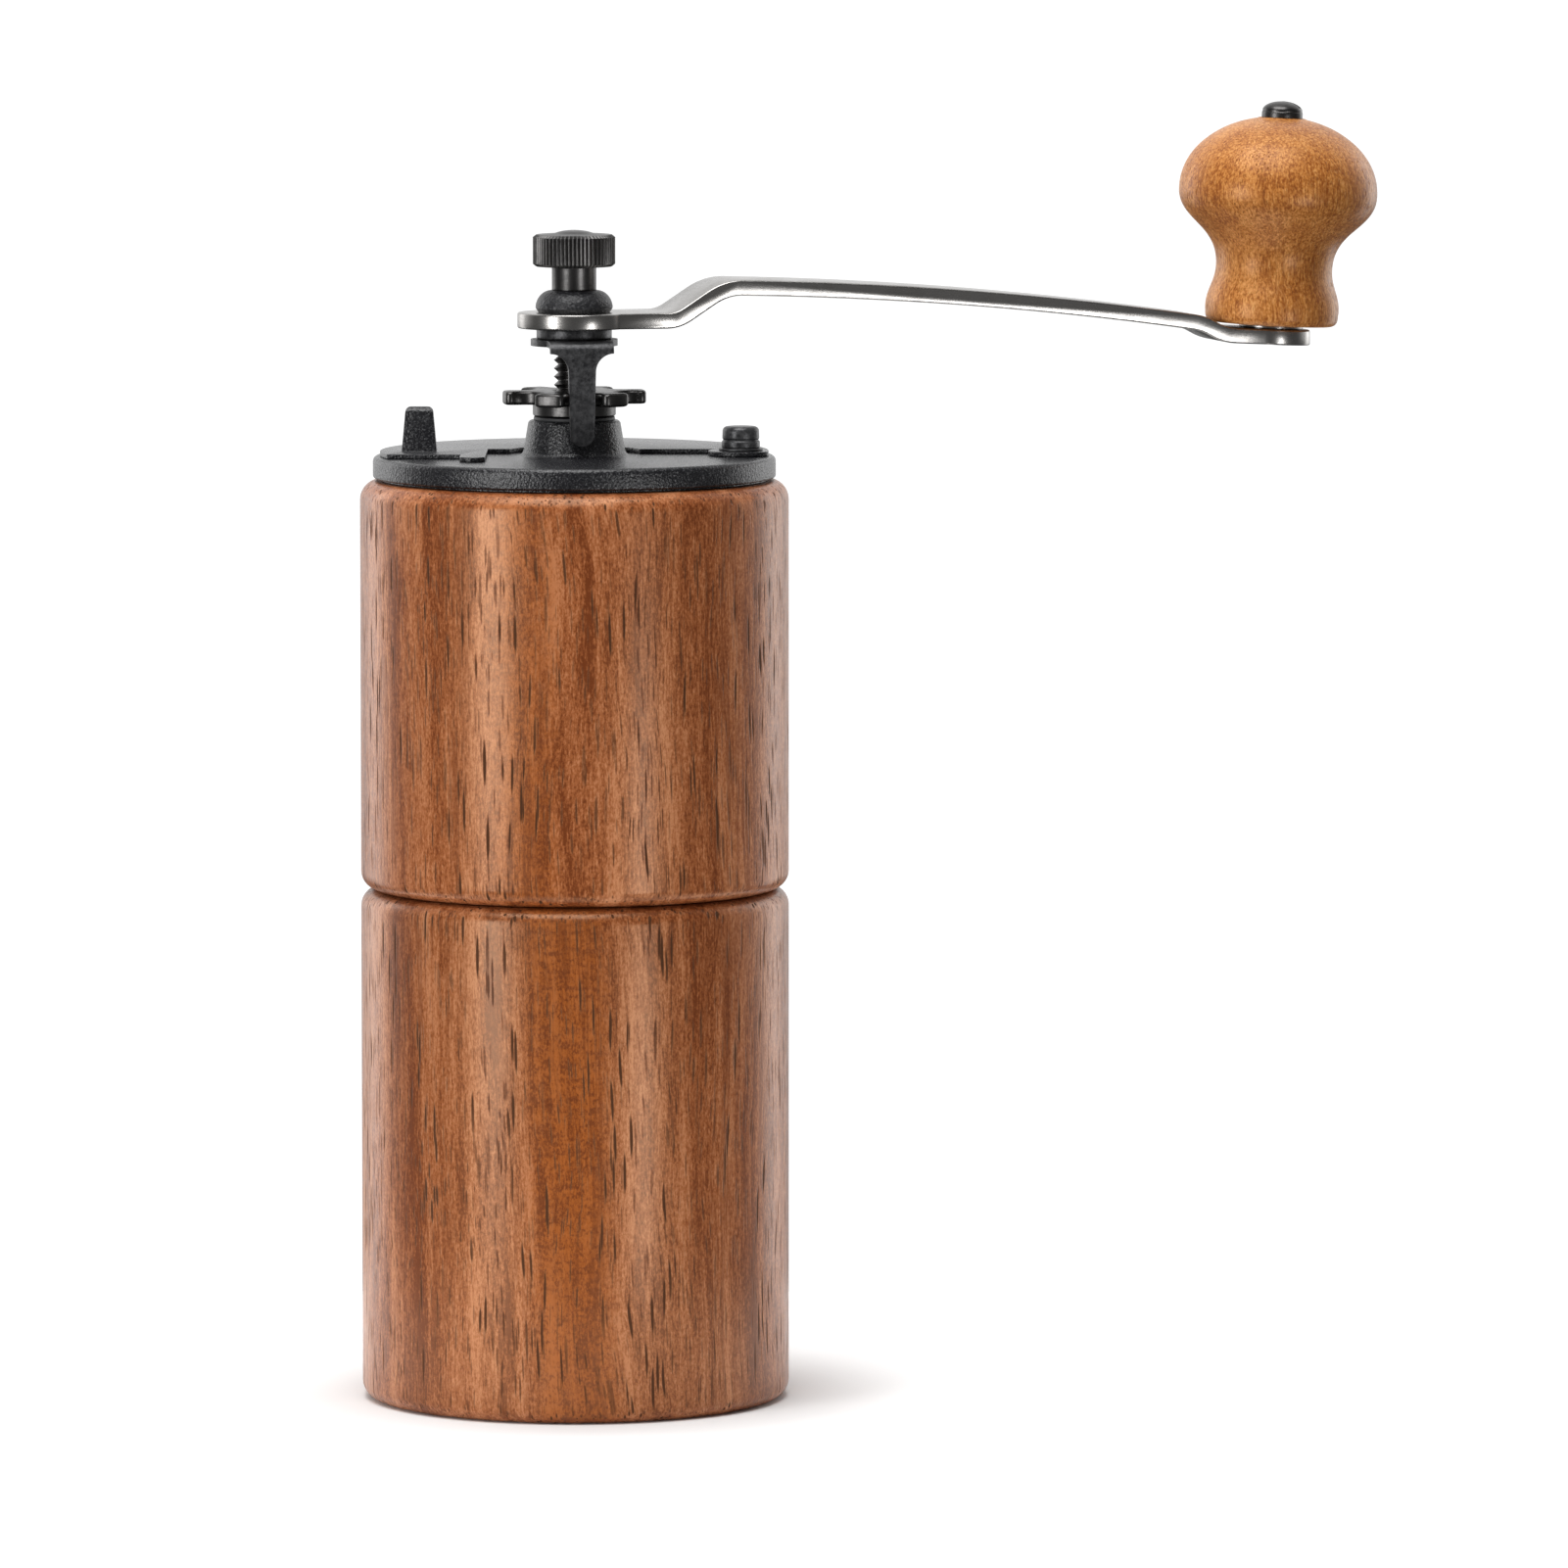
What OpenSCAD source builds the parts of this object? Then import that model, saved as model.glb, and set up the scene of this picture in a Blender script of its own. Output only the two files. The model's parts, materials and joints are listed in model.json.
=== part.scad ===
// Hand-cranked burr coffee mill.
// Two turned wooden barrels, a cast lid with a swinging bean door, a conical burr set on a
// threaded spindle, and a flat steel crank with a turned wooden knob.
// Origin: centre of the catch cup's base. +Z is up, and -Y is the front.

/* [Wooden barrels] */
// Outer diameter of both barrels
body_d = 66; // [64:0.5:80]
// Height of the lower barrel, the catch cup
cup_h = 79; // [65:1:100]
// Height of the upper barrel, the hopper
hopper_h = 63; // [52:1:90]
// Wood thickness around the bean hopper
hopper_wall = 8; // [6.5:0.1:9.6]
// Wood thickness around the catch cup's cavity
cup_wall = 8; // [6.5:0.1:12]
// Thickness of the catch cup's floor
cup_floor_t = 6; // [4:0.5:10]
// Wood left around the burr carrier's socket
socket_wall = 5.2; // [4.4:0.1:5.6]
// Depth of the socket in the hopper's underside
socket_depth = 17; // [16:0.5:20]
// Height of the wooden ledge that the burr carrier is screwed to
ledge_h = 5; // [4:0.5:7]
// Round-over on the barrels' lower edges and on the cup's rim
edge_r = 2.6; // [1:0.1:3.4]
// Round-over on the hopper's top edge
top_edge_r = 3; // [1:0.1:3]

/* [Cast lid] */
// Distance from the barrel's side to the lid's rim
lid_inset = 2; // [1.5:0.1:3]
// Thickness of the lid's plate
lid_t = 3.3; // [2.8:0.1:4]
// Height of the shadow step under the lid's rim
lid_step = 0.4; // [0.2:0.1:0.8]
// Depth of the spigot that locates the lid in the hopper
lid_spigot_h = 6; // [4:0.5:8]
// Wall thickness of the lid's spigot
lid_spigot_wall = 2.2; // [1.8:0.1:3]
// Diameter of the spindle boss at the lid's surface
boss_base_d = 15.9; // [15.2:0.1:17]
// Diameter of the spindle boss at its top
boss_top_d = 14.1; // [13:0.1:14.8]
// Height of the spindle boss above the lid
boss_h = 5.5; // [4.5:0.1:7]
// Inner radius of the bean opening
opening_r = 12; // [11.5:0.1:14]
// Angle that the bean opening covers
opening_angle = 140; // [90:1:150]

/* [Bean door] */
// Thickness of the door's sheet
door_t = 0.7; // [0.5:0.05:1]
// Distance from the door's pivot to the lid's rim
door_pivot_inset = 5.4; // [4.8:0.1:6]
// Height of the door's thumb fin
fin_h = 6.9; // [5:0.1:9]
// Width of the fin at its foot
fin_base_w = 5.4; // [4.5:0.1:6]
// Width of the fin at its tip
fin_tip_w = 4.3; // [3:0.1:4.6]

/* [Spindle and adjustment] */
// Outer diameter of the spindle's thread
thread_d = 6.35; // [5.3:0.05:7.65]
// Pitch of the spindle's thread
thread_pitch = 1.27; // [1:0.01:1.5]
// Height of thread between the adjusting wheel and the lock clip
thread_gap = 6.9; // [5.5:0.1:9]
// Thickness of the adjusting wheel's lobes
wheel_t = 2.1; // [1.6:0.1:3]
// Height of the hub under the adjusting wheel
wheel_hub_h = 1.9; // [1.2:0.1:3]
// Overall diameter of the adjusting wheel
wheel_d = 22.1; // [21:0.1:25]
// Travel of the inner burr from the coarsest to the finest grind
grind_travel = 1.2; // [0.6:0.1:1.3]

/* [Crank] */
// Distance from the spindle's axis to the knob's axis
crank_r = 112; // [90:1:135]
// Thickness of the crank's steel strip
strip_t = 2.4; // [2:0.1:3]
// Diameter of the eye at the crank's spindle end
hub_eye_d = 17.5; // [15:0.1:20]
// Diameter of the eye at the crank's knob end
knob_eye_d = 12.4; // [11:0.1:14]
// Direction that the crank points at rest, from +X towards +Y
crank_azimuth = 15; // [0:1:60]
// Outward lean of the knob's axis
knob_lean = 3; // [0:0.5:5]

/* [Knob] */
// Greatest diameter of the knob
knob_d = 31; // [26:0.5:37]
// Height of the knob
knob_h = 32.4; // [27:0.1:39]

/* [Burrs] */
// Outer diameter of the ring burr
ring_burr_d = 38; // [31:0.5:39]
// Height of the ring burr
ring_burr_h = 14; // [13:0.5:14]
// Distance from the ring burr's outside to the cone burr's foot
ring_burr_wall = 3.4; // [3:0.1:4]
// Height of the cone burr
cone_burr_h = 17; // [16:0.5:18]

/* [Hidden] */

$fn = 64;
eps = 0.01;             // overshoot that keeps cuts clean
run_gap = 0.05;         // radial clearance of a running or seated fit
seam_gap = 0.1;         // clearance between faces that slide or part
body_r = body_d / 2;

// ---- levels, from the base upwards ----
hopper_z = cup_h + seam_gap;
hopper_top = hopper_z + hopper_h;
ledge_z = hopper_z + socket_depth;
lid_z = hopper_top + lid_step;
lid_top = lid_z + lid_t;
boss_top = lid_top + boss_h;
bush_flange_t = 0.5;
wheel_z = boss_top + bush_flange_t + run_gap;
wheel_top = wheel_z + wheel_hub_h + wheel_t;
clip_z = wheel_top + thread_gap;
clip_t = 1;
crank_washer_z = clip_z + clip_t;
crank_washer_t = 1.7;
crank_washer_r = 5.8;
arm_z = crank_washer_z + crank_washer_t;    // underside of the crank's eye
arm_top = arm_z + strip_t;
dome_h = 3.4;
dome_r = 5.95;
neck_h = 3.65;
head_h = 4.9;
crown_h = 0.7;

// ---- radii of the barrels, their sockets and what seats in them ----
hopper_bore_r = body_r - hopper_wall;
cup_bore_r = body_r - cup_wall;
socket_r = body_r - socket_wall;
carrier_gap = 0.1;
carrier_r = socket_r - carrier_gap;
spigot_gap = 0.35;
spigot_r = carrier_r - 0.4;
spigot_drop = 8;        // how far the spigot reaches into the cup
spigot_z = cup_h - spigot_drop;
spigot_wall = 2.2;
mouth_r = spigot_r + spigot_gap;
mouth_depth = spigot_drop + 1;

// ---- burr carrier ----
flange_t = 4;
flange_z = ledge_z - flange_t;
seat_r = ring_burr_d / 2 + run_gap;
seat_wall = 1.8;
throat_r = seat_r - 2.5;
screw_r = 1.1;
screw_head_r = 1.75;
screw_head_t = 1.3;
screw_len = 10;
screw_ring_r = (seat_r + seat_wall + spigot_r - spigot_wall) / 2;
screw_count = 3;
ledge_r = screw_ring_r - 2.4;
funnel_h = hopper_bore_r - ledge_r + 1.5;
circlip_t = 1.1;
circlip_bite = 0.9;
circlip_z = flange_z - ring_burr_h - run_gap - circlip_t;
seat_z = circlip_z - 1.9;
arm_count = 3;
spider_w = 4.2;
spider_h = 5;
spring_wire_r = 0.4;
spring_r = thread_d / 2 + 1.1;   // centre line of the spring's wire
spring_turns = 3.5;
spring_pocket_h = 3;
spring_pocket_r = spring_r + spring_wire_r + 0.7;
hub_r = spring_pocket_r + 1.6;
hub_h = 12;
bush_r = thread_d / 2 + 1;
ring_cs_r = 0.75;       // cross-section radius of the sealing ring
ring_groove_h = 1.6;
ring_groove_depth = 1.2;
ring_z = spigot_z + 3.6;

// ---- spindle and burrs ----
shaft_r = thread_d / 2;
shaft_bore_r = shaft_r + run_gap;
thread_depth = 0.54 * thread_pitch;
stud_r = shaft_r - 0.675;
stud_top = arm_top + dome_h + neck_h + 1.65;
drive_flat = thread_d - 1.15;    // across the flats, for the clip, the crank and the cone burr
thread_z = lid_top + 2;
burr_top_gap = 0.5;     // cone burr's top above the flange's underside
cone_top = flange_z + burr_top_gap;
cone_z = cone_top - cone_burr_h;
cone_burr_r = ring_burr_d / 2 - ring_burr_wall;
cone_top_r = shaft_r + 2.2;
cone_slope = (cone_burr_r - cone_top_r) / cone_burr_h;
burr_gap = 0.95;        // radial gap between the burrs at the coarsest setting
finish_h = 5;           // height of the ring burr's finishing band
washer_t = 0.8;
thrust_r = spring_r + 0.6;
burr_nut_af = 10;
burr_nut_h = 4;
burr_washer_t = 0.9;
burr_nut_z = cone_z - burr_washer_t - burr_nut_h;
spindle_z = burr_nut_z - 1.2;
spring_z0 = cone_top + washer_t + run_gap;
spring_z1 = ledge_z + spring_pocket_h;

// ---- lid, door and rivet ----
lid_r = body_r - lid_inset;
lid_edge_r = 0.8;
pivot = [lid_r - door_pivot_inset, 0];
rivet_shank_r = 2;
rivet_head_r = 2.85;
rivet_head_h = 2.1;
rivet_collar_r = 2.95;
rivet_collar_h = 1.1;
door_washer_r = 3.4;
door_washer_t = 0.35;
door_z = lid_top + run_gap;
fin_t = 2.2;
fin_x = -lid_r + 7.2;
fin_corner_r = 0.9;
door_edge_y = 3.4;      // front edge of the door's plate, ahead of the bean opening
toe_end_x = -13.4;      // right end of the thumb toe under the fin
toe_w = 3.9;

// ---- lock clip ----
clip_azimuth = -81;     // direction of the prong, in the wheel's front notch
clip_plate_r = 6.7;
prong_r = 8.1;          // inner face of the prong
prong_w = 4.2;
prong_tip_z = lid_top + 1.9;
notch_count = 6;
notch_r = prong_w / 2 + 0.65;
notch_at = prong_r + 1.5;

function arc(c, r, a0, a1, n = 8) =
    [for (i = [0:n]) let (a = a0 + (a1 - a0) * i / n) [c[0] + r * cos(a), c[1] + r * sin(a)]];

function bezier(p0, p1, p2, p3, n = 8) =
    [for (i = [1:n]) let (t = i / n, u = 1 - t)
        u * u * u * p0 + 3 * u * u * t * p1 + 3 * u * t * t * p2 + t * t * t * p3];

// Solid turned barrel with rounded edges
module barrel(r, z0, z1, r0, r1) {
    rotate_extrude($fn = 128)
        polygon(concat([[0, z0]], arc([r - r0, z0 + r0], r0, -90, 0),
                       arc([r - r1, z1 - r1], r1, 0, 90), [[0, z1]]));
}

module ring(r_out, r_in, z, h) {
    difference() {
        translate([0, 0, z]) cylinder(r = r_out, h = h);
        translate([0, 0, z - eps]) cylinder(r = r_in, h = h + 2 * eps);
    }
}

module screw_places(r) {
    for (i = [0:screw_count - 1])
        rotate([0, 0, 30 + i * 360 / screw_count]) translate([r, 0, 0]) children();
}

// Round shaft with two flats (sides = 2) or four (sides = 4), grown by a clearance
module flatted_shaft(z, h, sides, grow = 0) {
    intersection() {
        translate([0, 0, z]) cylinder(r = shaft_r + grow, h = h);
        translate([-drive_flat / 2 - grow, sides == 4 ? -drive_flat / 2 - grow : -shaft_r - 1, z])
            cube([drive_flat + 2 * grow, sides == 4 ? drive_flat + 2 * grow : 2 * shaft_r + 2, h]);
    }
}

// ---- catch cup ----
module catch_cup() {
    color("sienna") difference() {
        barrel(body_r, 0, cup_h, edge_r, edge_r);
        translate([0, 0, cup_floor_t]) cylinder(r = cup_bore_r, h = cup_h);
        translate([0, 0, cup_h - mouth_depth]) cylinder(r = mouth_r, h = mouth_depth + eps);
    }
}

// ---- hopper ----
module hopper_body() {
    color("sienna") difference() {
        barrel(body_r, hopper_z, hopper_top, edge_r, top_edge_r);
        translate([0, 0, hopper_z - eps]) cylinder(r = ledge_r, h = hopper_h + 1);
        translate([0, 0, hopper_z - eps]) cylinder(r = socket_r, h = socket_depth + eps);
        translate([0, 0, ledge_z + ledge_h]) cylinder(r1 = ledge_r, r2 = hopper_bore_r, h = funnel_h);
        translate([0, 0, ledge_z + ledge_h + funnel_h]) cylinder(r = hopper_bore_r, h = hopper_h);
        screw_places(screw_ring_r) translate([0, 0, ledge_z - eps])
            cylinder(r = screw_r + run_gap, h = screw_len - flange_t + 0.3);
    }
}

// ---- lid ----
module lid_plate() {
    inset = 1;
    seat = hopper_bore_r - run_gap;
    fillet = 0.9;
    color("dimgray") difference() {
        union() {
            rotate_extrude($fn = 128) polygon(concat(
                [[bush_r + run_gap, hopper_top + run_gap]],
                [[seat, hopper_top + run_gap], [lid_r - inset, hopper_top + run_gap],
                 [lid_r - inset, lid_z], [lid_r, lid_z]],
                arc([lid_r - lid_edge_r, lid_top - lid_edge_r], lid_edge_r, 0, 90, 5),
                arc([boss_base_d / 2 + fillet, lid_top + fillet], fillet, 270, 190, 5),
                arc([boss_top_d / 2 - 0.6, boss_top - 0.6], 0.6, 8, 90, 4),
                [[bush_r + run_gap, boss_top]]));
            ring(seat, seat - lid_spigot_wall, hopper_top - lid_spigot_h, lid_spigot_h + lid_step);
        }
        bean_opening();
        translate([pivot[0], pivot[1], hopper_top + run_gap]) cylinder(r = rivet_shank_r + run_gap, h = 20);
    }
}

// Ring sector through the rear of the lid, where the beans go in
module bean_opening() {
    outer = hopper_bore_r - run_gap - lid_spigot_wall - 0.6;
    start = (180 - opening_angle) / 2;
    rotate([0, 0, start]) rotate_extrude(angle = opening_angle)
        translate([opening_r, hopper_top - lid_spigot_h]) square([outer - opening_r, lid_spigot_h + 10]);
}

// ---- bush in the lid's boss; its flange carries the adjusting wheel ----
module top_bush() {
    color("ivory") difference() {
        union() {
            translate([0, 0, hopper_top]) cylinder(r = bush_r, h = boss_top - hopper_top + eps);
            translate([0, 0, boss_top]) cylinder(r = boss_top_d / 2 - 0.8, h = bush_flange_t);
        }
        translate([0, 0, hopper_top - eps]) cylinder(r = shaft_bore_r, h = 20);
    }
}

// ---- bean door: thin plate round the rear of the boss, with a thumb fin ----
module door_outline() {
    rim = lid_r - 1.1;
    toe_front = -9;
    toe_tip = -14.2;
    intersection() {
        circle(r = rim, $fn = 128);
        difference() {
            union() {
                translate([-rim, door_edge_y]) square([2 * rim, rim]);
                translate([-rim, toe_front]) square([rim + toe_end_x, door_edge_y - toe_front + 1]);
                translate([toe_end_x - toe_w, toe_tip]) square([toe_w, toe_front - toe_tip + 1]);
                translate([toe_end_x - toe_w / 2, toe_tip]) circle(d = toe_w);
                translate(pivot) circle(r = rivet_shank_r + 3);
            }
            circle(r = opening_r - 1.4);
            translate(pivot) circle(r = rivet_shank_r + 0.08);
        }
    }
}

module bean_door() {
    fin_foot = door_z + door_t - eps;
    color("darkslategray") union() {
        translate([0, 0, door_z]) linear_extrude(door_t) door_outline();
        translate([fin_x, -1.2, fin_foot]) intersection() {
            translate([0, 4, 0]) rotate([90, 0, 0]) linear_extrude(8)
                polygon(concat([[-fin_base_w / 2, 0], [fin_base_w / 2, 0]],
                               arc([fin_tip_w / 2 - fin_corner_r, fin_h - fin_corner_r], fin_corner_r, 8, 90, 4),
                               arc([fin_corner_r - fin_tip_w / 2, fin_h - fin_corner_r], fin_corner_r, 90, 172, 4)));
            translate([-4, 0, 0]) rotate([90, 0, 90]) linear_extrude(8)
                polygon(concat([[-fin_t / 2 - 0.4, 0], [fin_t / 2 + 0.4, 0]],
                               arc([0, fin_h - fin_t / 2], fin_t / 2, 0, 180)));
        }
    }
}

module door_rivet() {
    foot = hopper_top + seam_gap;
    top = door_z + door_t + run_gap + door_washer_t;
    color("black") translate([pivot[0], pivot[1], 0]) rotate_extrude($fn = 48) polygon(concat(
        [[0, foot], [rivet_shank_r, foot], [rivet_shank_r, top],
         [rivet_collar_r, top], [rivet_collar_r, top + rivet_collar_h], [2.5, top + rivet_collar_h + 0.1]],
        arc([rivet_head_r - 0.7, top + rivet_collar_h + rivet_head_h - 0.7], 0.7, 0, 90, 5),
        [[0, top + rivet_collar_h + rivet_head_h + 0.15]]));
}

module door_washer() {
    color("black") translate([pivot[0], pivot[1], 0])
        ring(door_washer_r, rivet_shank_r + run_gap, door_z + door_t + run_gap, door_washer_t);
}

// ---- burr carrier: flange, burr seat, spigot and the spider that holds the lower bush ----
module burr_carrier() {
    seat_out = seat_r + seat_wall;
    spigot_in = spigot_r - spigot_wall;
    color("slategray") difference() {
        union() {
            rotate_extrude($fn = 128) polygon([
                [throat_r, ledge_z], [carrier_r, ledge_z], [carrier_r, flange_z], [spigot_r, flange_z - 0.4],
                [spigot_r, ring_z + ring_groove_h / 2],
                [spigot_r - ring_groove_depth, ring_z + ring_groove_h / 2],
                [spigot_r - ring_groove_depth, ring_z - ring_groove_h / 2],
                [spigot_r, ring_z - ring_groove_h / 2],
                [spigot_r, spigot_z + 0.6], [spigot_r - 0.6, spigot_z], [spigot_in, spigot_z],
                [spigot_in, flange_z], [seat_out, flange_z], [seat_out, seat_z], [seat_r, seat_z],
                [seat_r, circlip_z - run_gap], [seat_r + circlip_bite, circlip_z - run_gap],
                [seat_r + circlip_bite, circlip_z + circlip_t + run_gap],
                [seat_r, circlip_z + circlip_t + run_gap], [seat_r, flange_z], [throat_r, flange_z]]);
            translate([0, 0, ledge_z]) cylinder(r = hub_r, h = hub_h);
            for (i = [0:arm_count - 1])
                rotate([0, 0, 90 + i * 360 / arm_count])
                    translate([hub_r - 1, -spider_w / 2, ledge_z - 1])
                        cube([throat_r - hub_r + 2, spider_w, spider_h]);
        }
        translate([0, 0, ledge_z - 2]) cylinder(r = spring_pocket_r, h = spring_pocket_h + 2);
        translate([0, 0, ledge_z]) cylinder(r = bush_r + run_gap, h = hub_h + 1);
        screw_places(screw_ring_r) translate([0, 0, flange_z - 1]) cylinder(r = screw_r + run_gap, h = flange_t + 2);
    }
}

module carrier_screws() {
    color("silver") screw_places(screw_ring_r) difference() {
        union() {
            translate([0, 0, flange_z - run_gap - screw_head_t]) cylinder(r1 = 1.5, r2 = screw_head_r, h = screw_head_t);
            translate([0, 0, flange_z - run_gap - eps]) cylinder(r = screw_r, h = screw_len - 2);
            translate([0, 0, flange_z + screw_len - 2 - run_gap - 2 * eps]) cylinder(r1 = screw_r, r2 = 0.2, h = 2);
        }
        translate([-0.25, -1.2, flange_z - screw_head_t - 1]) cube([0.5, 2.4, 1.6]);
        translate([-1.2, -0.25, flange_z - screw_head_t - 1]) cube([2.4, 0.5, 1.6]);
    }
}

module lower_bush() {
    color("ivory") difference() {
        union() {
            translate([0, 0, ledge_z + spring_pocket_h]) cylinder(r = bush_r, h = hub_h - spring_pocket_h + eps);
            translate([0, 0, ledge_z + hub_h]) cylinder(r = bush_r + 1.6, h = 0.8);
        }
        translate([0, 0, ledge_z]) cylinder(r = shaft_bore_r, h = hub_h + 4);
    }
}

// ---- ring burr: the throat narrows to the finishing band, which opens downwards ----
module outer_burr() {
    top = flange_z - run_gap;
    z0 = top - ring_burr_h;
    band_top = z0 + finish_h;
    wall_at_top = cone_burr_r - (band_top - cone_z) * cone_slope + burr_gap;
    wall_at_foot = cone_burr_r - (z0 - cone_z) * cone_slope + burr_gap;
    mouth = wall_at_top + 3.4;
    teeth = 12;
    color("gray") difference() {
        rotate_extrude($fn = 96) polygon([
            [wall_at_foot, z0], [ring_burr_d / 2, z0], [ring_burr_d / 2, top], [mouth, top],
            [wall_at_top, band_top]]);
        for (i = [0:teeth - 1])
            rotate([0, 0, i * 360 / teeth]) translate([wall_at_top - 0.2, 0, band_top - 1])
                rotate([0, 18, 24]) cube([2, 1.6, ring_burr_h]);
    }
}

module burr_circlip() {
    r_out = seat_r + circlip_bite - run_gap;
    r_in = seat_r - 1.6;
    color("silver") difference() {
        ring(r_out, r_in, circlip_z, circlip_t);
        rotate([0, 0, 90]) translate([r_in - 1, -3.2, circlip_z - 1]) cube([6, 6.4, circlip_t + 2]);
    }
}

module spigot_ring() {
    at = spigot_r - ring_groove_depth + ring_cs_r + 0.02;
    color("black") rotate_extrude($fn = 96) translate([at, ring_z]) circle(r = ring_cs_r, $fn = 24);
}

// ---- spring between the lower bush and the thrust washer ----
function spring_point(a) =
    let (h = spring_z1 - spring_z0 - 2 * spring_wire_r - 2 * run_gap)
    [spring_r * cos(a), spring_r * sin(a), spring_z0 + spring_wire_r + run_gap + h * a / (360 * spring_turns)];

module burr_spring() {
    steps = 70;
    sides = 8;
    points = [for (i = [0:steps]) let (a = 360 * spring_turns * i / steps, c = spring_point(a))
        for (k = [0:sides - 1]) let (b = 360 * k / sides)
            c + spring_wire_r * [cos(b) * cos(a), cos(b) * sin(a), sin(b)]];
    skin = [for (i = [0:steps - 1]) for (k = [0:sides - 1]) let (n = (k + 1) % sides)
        [i * sides + k, (i + 1) * sides + k, (i + 1) * sides + n, i * sides + n]];
    ends = [[for (k = [0:sides - 1]) k], [for (k = [sides - 1:-1:0]) steps * sides + k]];
    color("silver") polyhedron(points = points, faces = concat(skin, ends));
}

module thrust_washer() {
    color("silver") ring(thrust_r, shaft_r + 0.15, cone_top + run_gap / 2, washer_t);
}

// ---- spindle: flats for the burr, plain journal, adjusting thread, square and top stud ----
function thread_turns(z0, z1, r) =
    let (n = floor((z1 - z0) / thread_pitch))
    [for (i = [0:n - 1]) let (z = z0 + i * thread_pitch)
        for (p = [[0, 0.1], [-thread_depth, 0.42], [-thread_depth, 0.58], [0, 0.9]])
            [r + p[0], z + p[1] * thread_pitch]];

module spindle() {
    square_z = clip_z - run_gap;
    color("dimgray") difference() {
        rotate_extrude($fn = 48) polygon(concat(
            [[0, spindle_z], [stud_r - 0.4, spindle_z], [stud_r, spindle_z + 0.4], [stud_r, cone_z - run_gap],
             [shaft_r, cone_z - run_gap], [shaft_r, thread_z]],
            thread_turns(thread_z, square_z, shaft_r),
            [[shaft_r, square_z], [shaft_r, arm_top], [stud_r, arm_top], [stud_r, stud_top - 0.5],
             [stud_r - 0.5, stud_top], [0, stud_top]]));
        for (a = [0:180:180])
            rotate([0, 0, a]) translate([drive_flat / 2, -5, cone_z - run_gap - eps]) cube([5, 10, cone_burr_h + 2 * run_gap]);
        for (a = [0:90:270])
            rotate([0, 0, crank_azimuth + a]) translate([drive_flat / 2, -5, square_z])
                cube([5, 10, arm_top - square_z + eps]);
    }
}

// ---- cone burr: coarse breaking grooves above, fine teeth at the foot ----
module inner_burr() {
    lean = atan(cone_slope);
    coarse = 8;
    fine = 28;
    color("gray") difference() {
        translate([0, 0, cone_z]) cylinder(r1 = cone_burr_r, r2 = cone_top_r, h = cone_burr_h, $fn = 96);
        flatted_shaft(cone_z - 1, cone_burr_h + 2, 2, run_gap);
        for (i = [0:coarse - 1])
            rotate([0, 0, i * 360 / coarse]) translate([cone_burr_r - 4.6, -1, cone_z + 4.6])
                rotate([24, -lean, 0]) cube([3, 1.8, cone_burr_h * 1.3]);
        for (i = [0:fine - 1])
            rotate([0, 0, i * 360 / fine]) translate([cone_burr_r - 0.7, -0.35, cone_z - 1])
                rotate([22, -lean, 0]) cube([2, 0.7, 8]);
    }
}

module burr_washer() {
    color("silver") ring(6.5, stud_r + 0.1, cone_z - run_gap - burr_washer_t + run_gap / 2, burr_washer_t - run_gap);
}

module burr_nut() {
    z = burr_nut_z - run_gap;
    color("silver") difference() {
        intersection() {
            translate([0, 0, z]) cylinder(d = burr_nut_af / cos(30), h = burr_nut_h, $fn = 6);
            translate([0, 0, z]) cylinder(r1 = burr_nut_af / 2 + 0.1, r2 = burr_nut_af / 2 + 3, h = burr_nut_h);
        }
        translate([0, 0, z - eps]) cylinder(r = stud_r + run_gap, h = burr_nut_h + 1);
    }
}

// ---- adjusting wheel: lobed disc on a round hub, threaded on the spindle ----
module adjusting_wheel() {
    r = wheel_d / 2;
    z = wheel_z + wheel_hub_h;
    hub = 6.4;
    edge = 0.6;
    flare = 0.2;
    color("dimgray") difference() {
        rotate_extrude($fn = 96) polygon(concat(
            [[0, wheel_z], [hub, wheel_z], [hub, z]],
            arc([r - edge, z + edge], edge, -90, 0, 4), arc([r - edge, z + wheel_t - edge], edge, 0, 90, 4),
            [[0, z + wheel_t]]));
        translate([0, 0, wheel_z - 1]) cylinder(r = shaft_r + 0.06, h = wheel_hub_h + wheel_t + 2);
        for (i = [0:notch_count - 1])
            rotate([0, 0, clip_azimuth + i * 360 / notch_count]) translate([notch_at, 0, z - eps]) {
                cylinder(r = notch_r, h = wheel_t + 1);
                linear_extrude(wheel_t + 1)
                    polygon([[0, -notch_r], [5, -notch_r - 5 * flare], [5, notch_r + 5 * flare], [0, notch_r]]);
            }
    }
}

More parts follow.
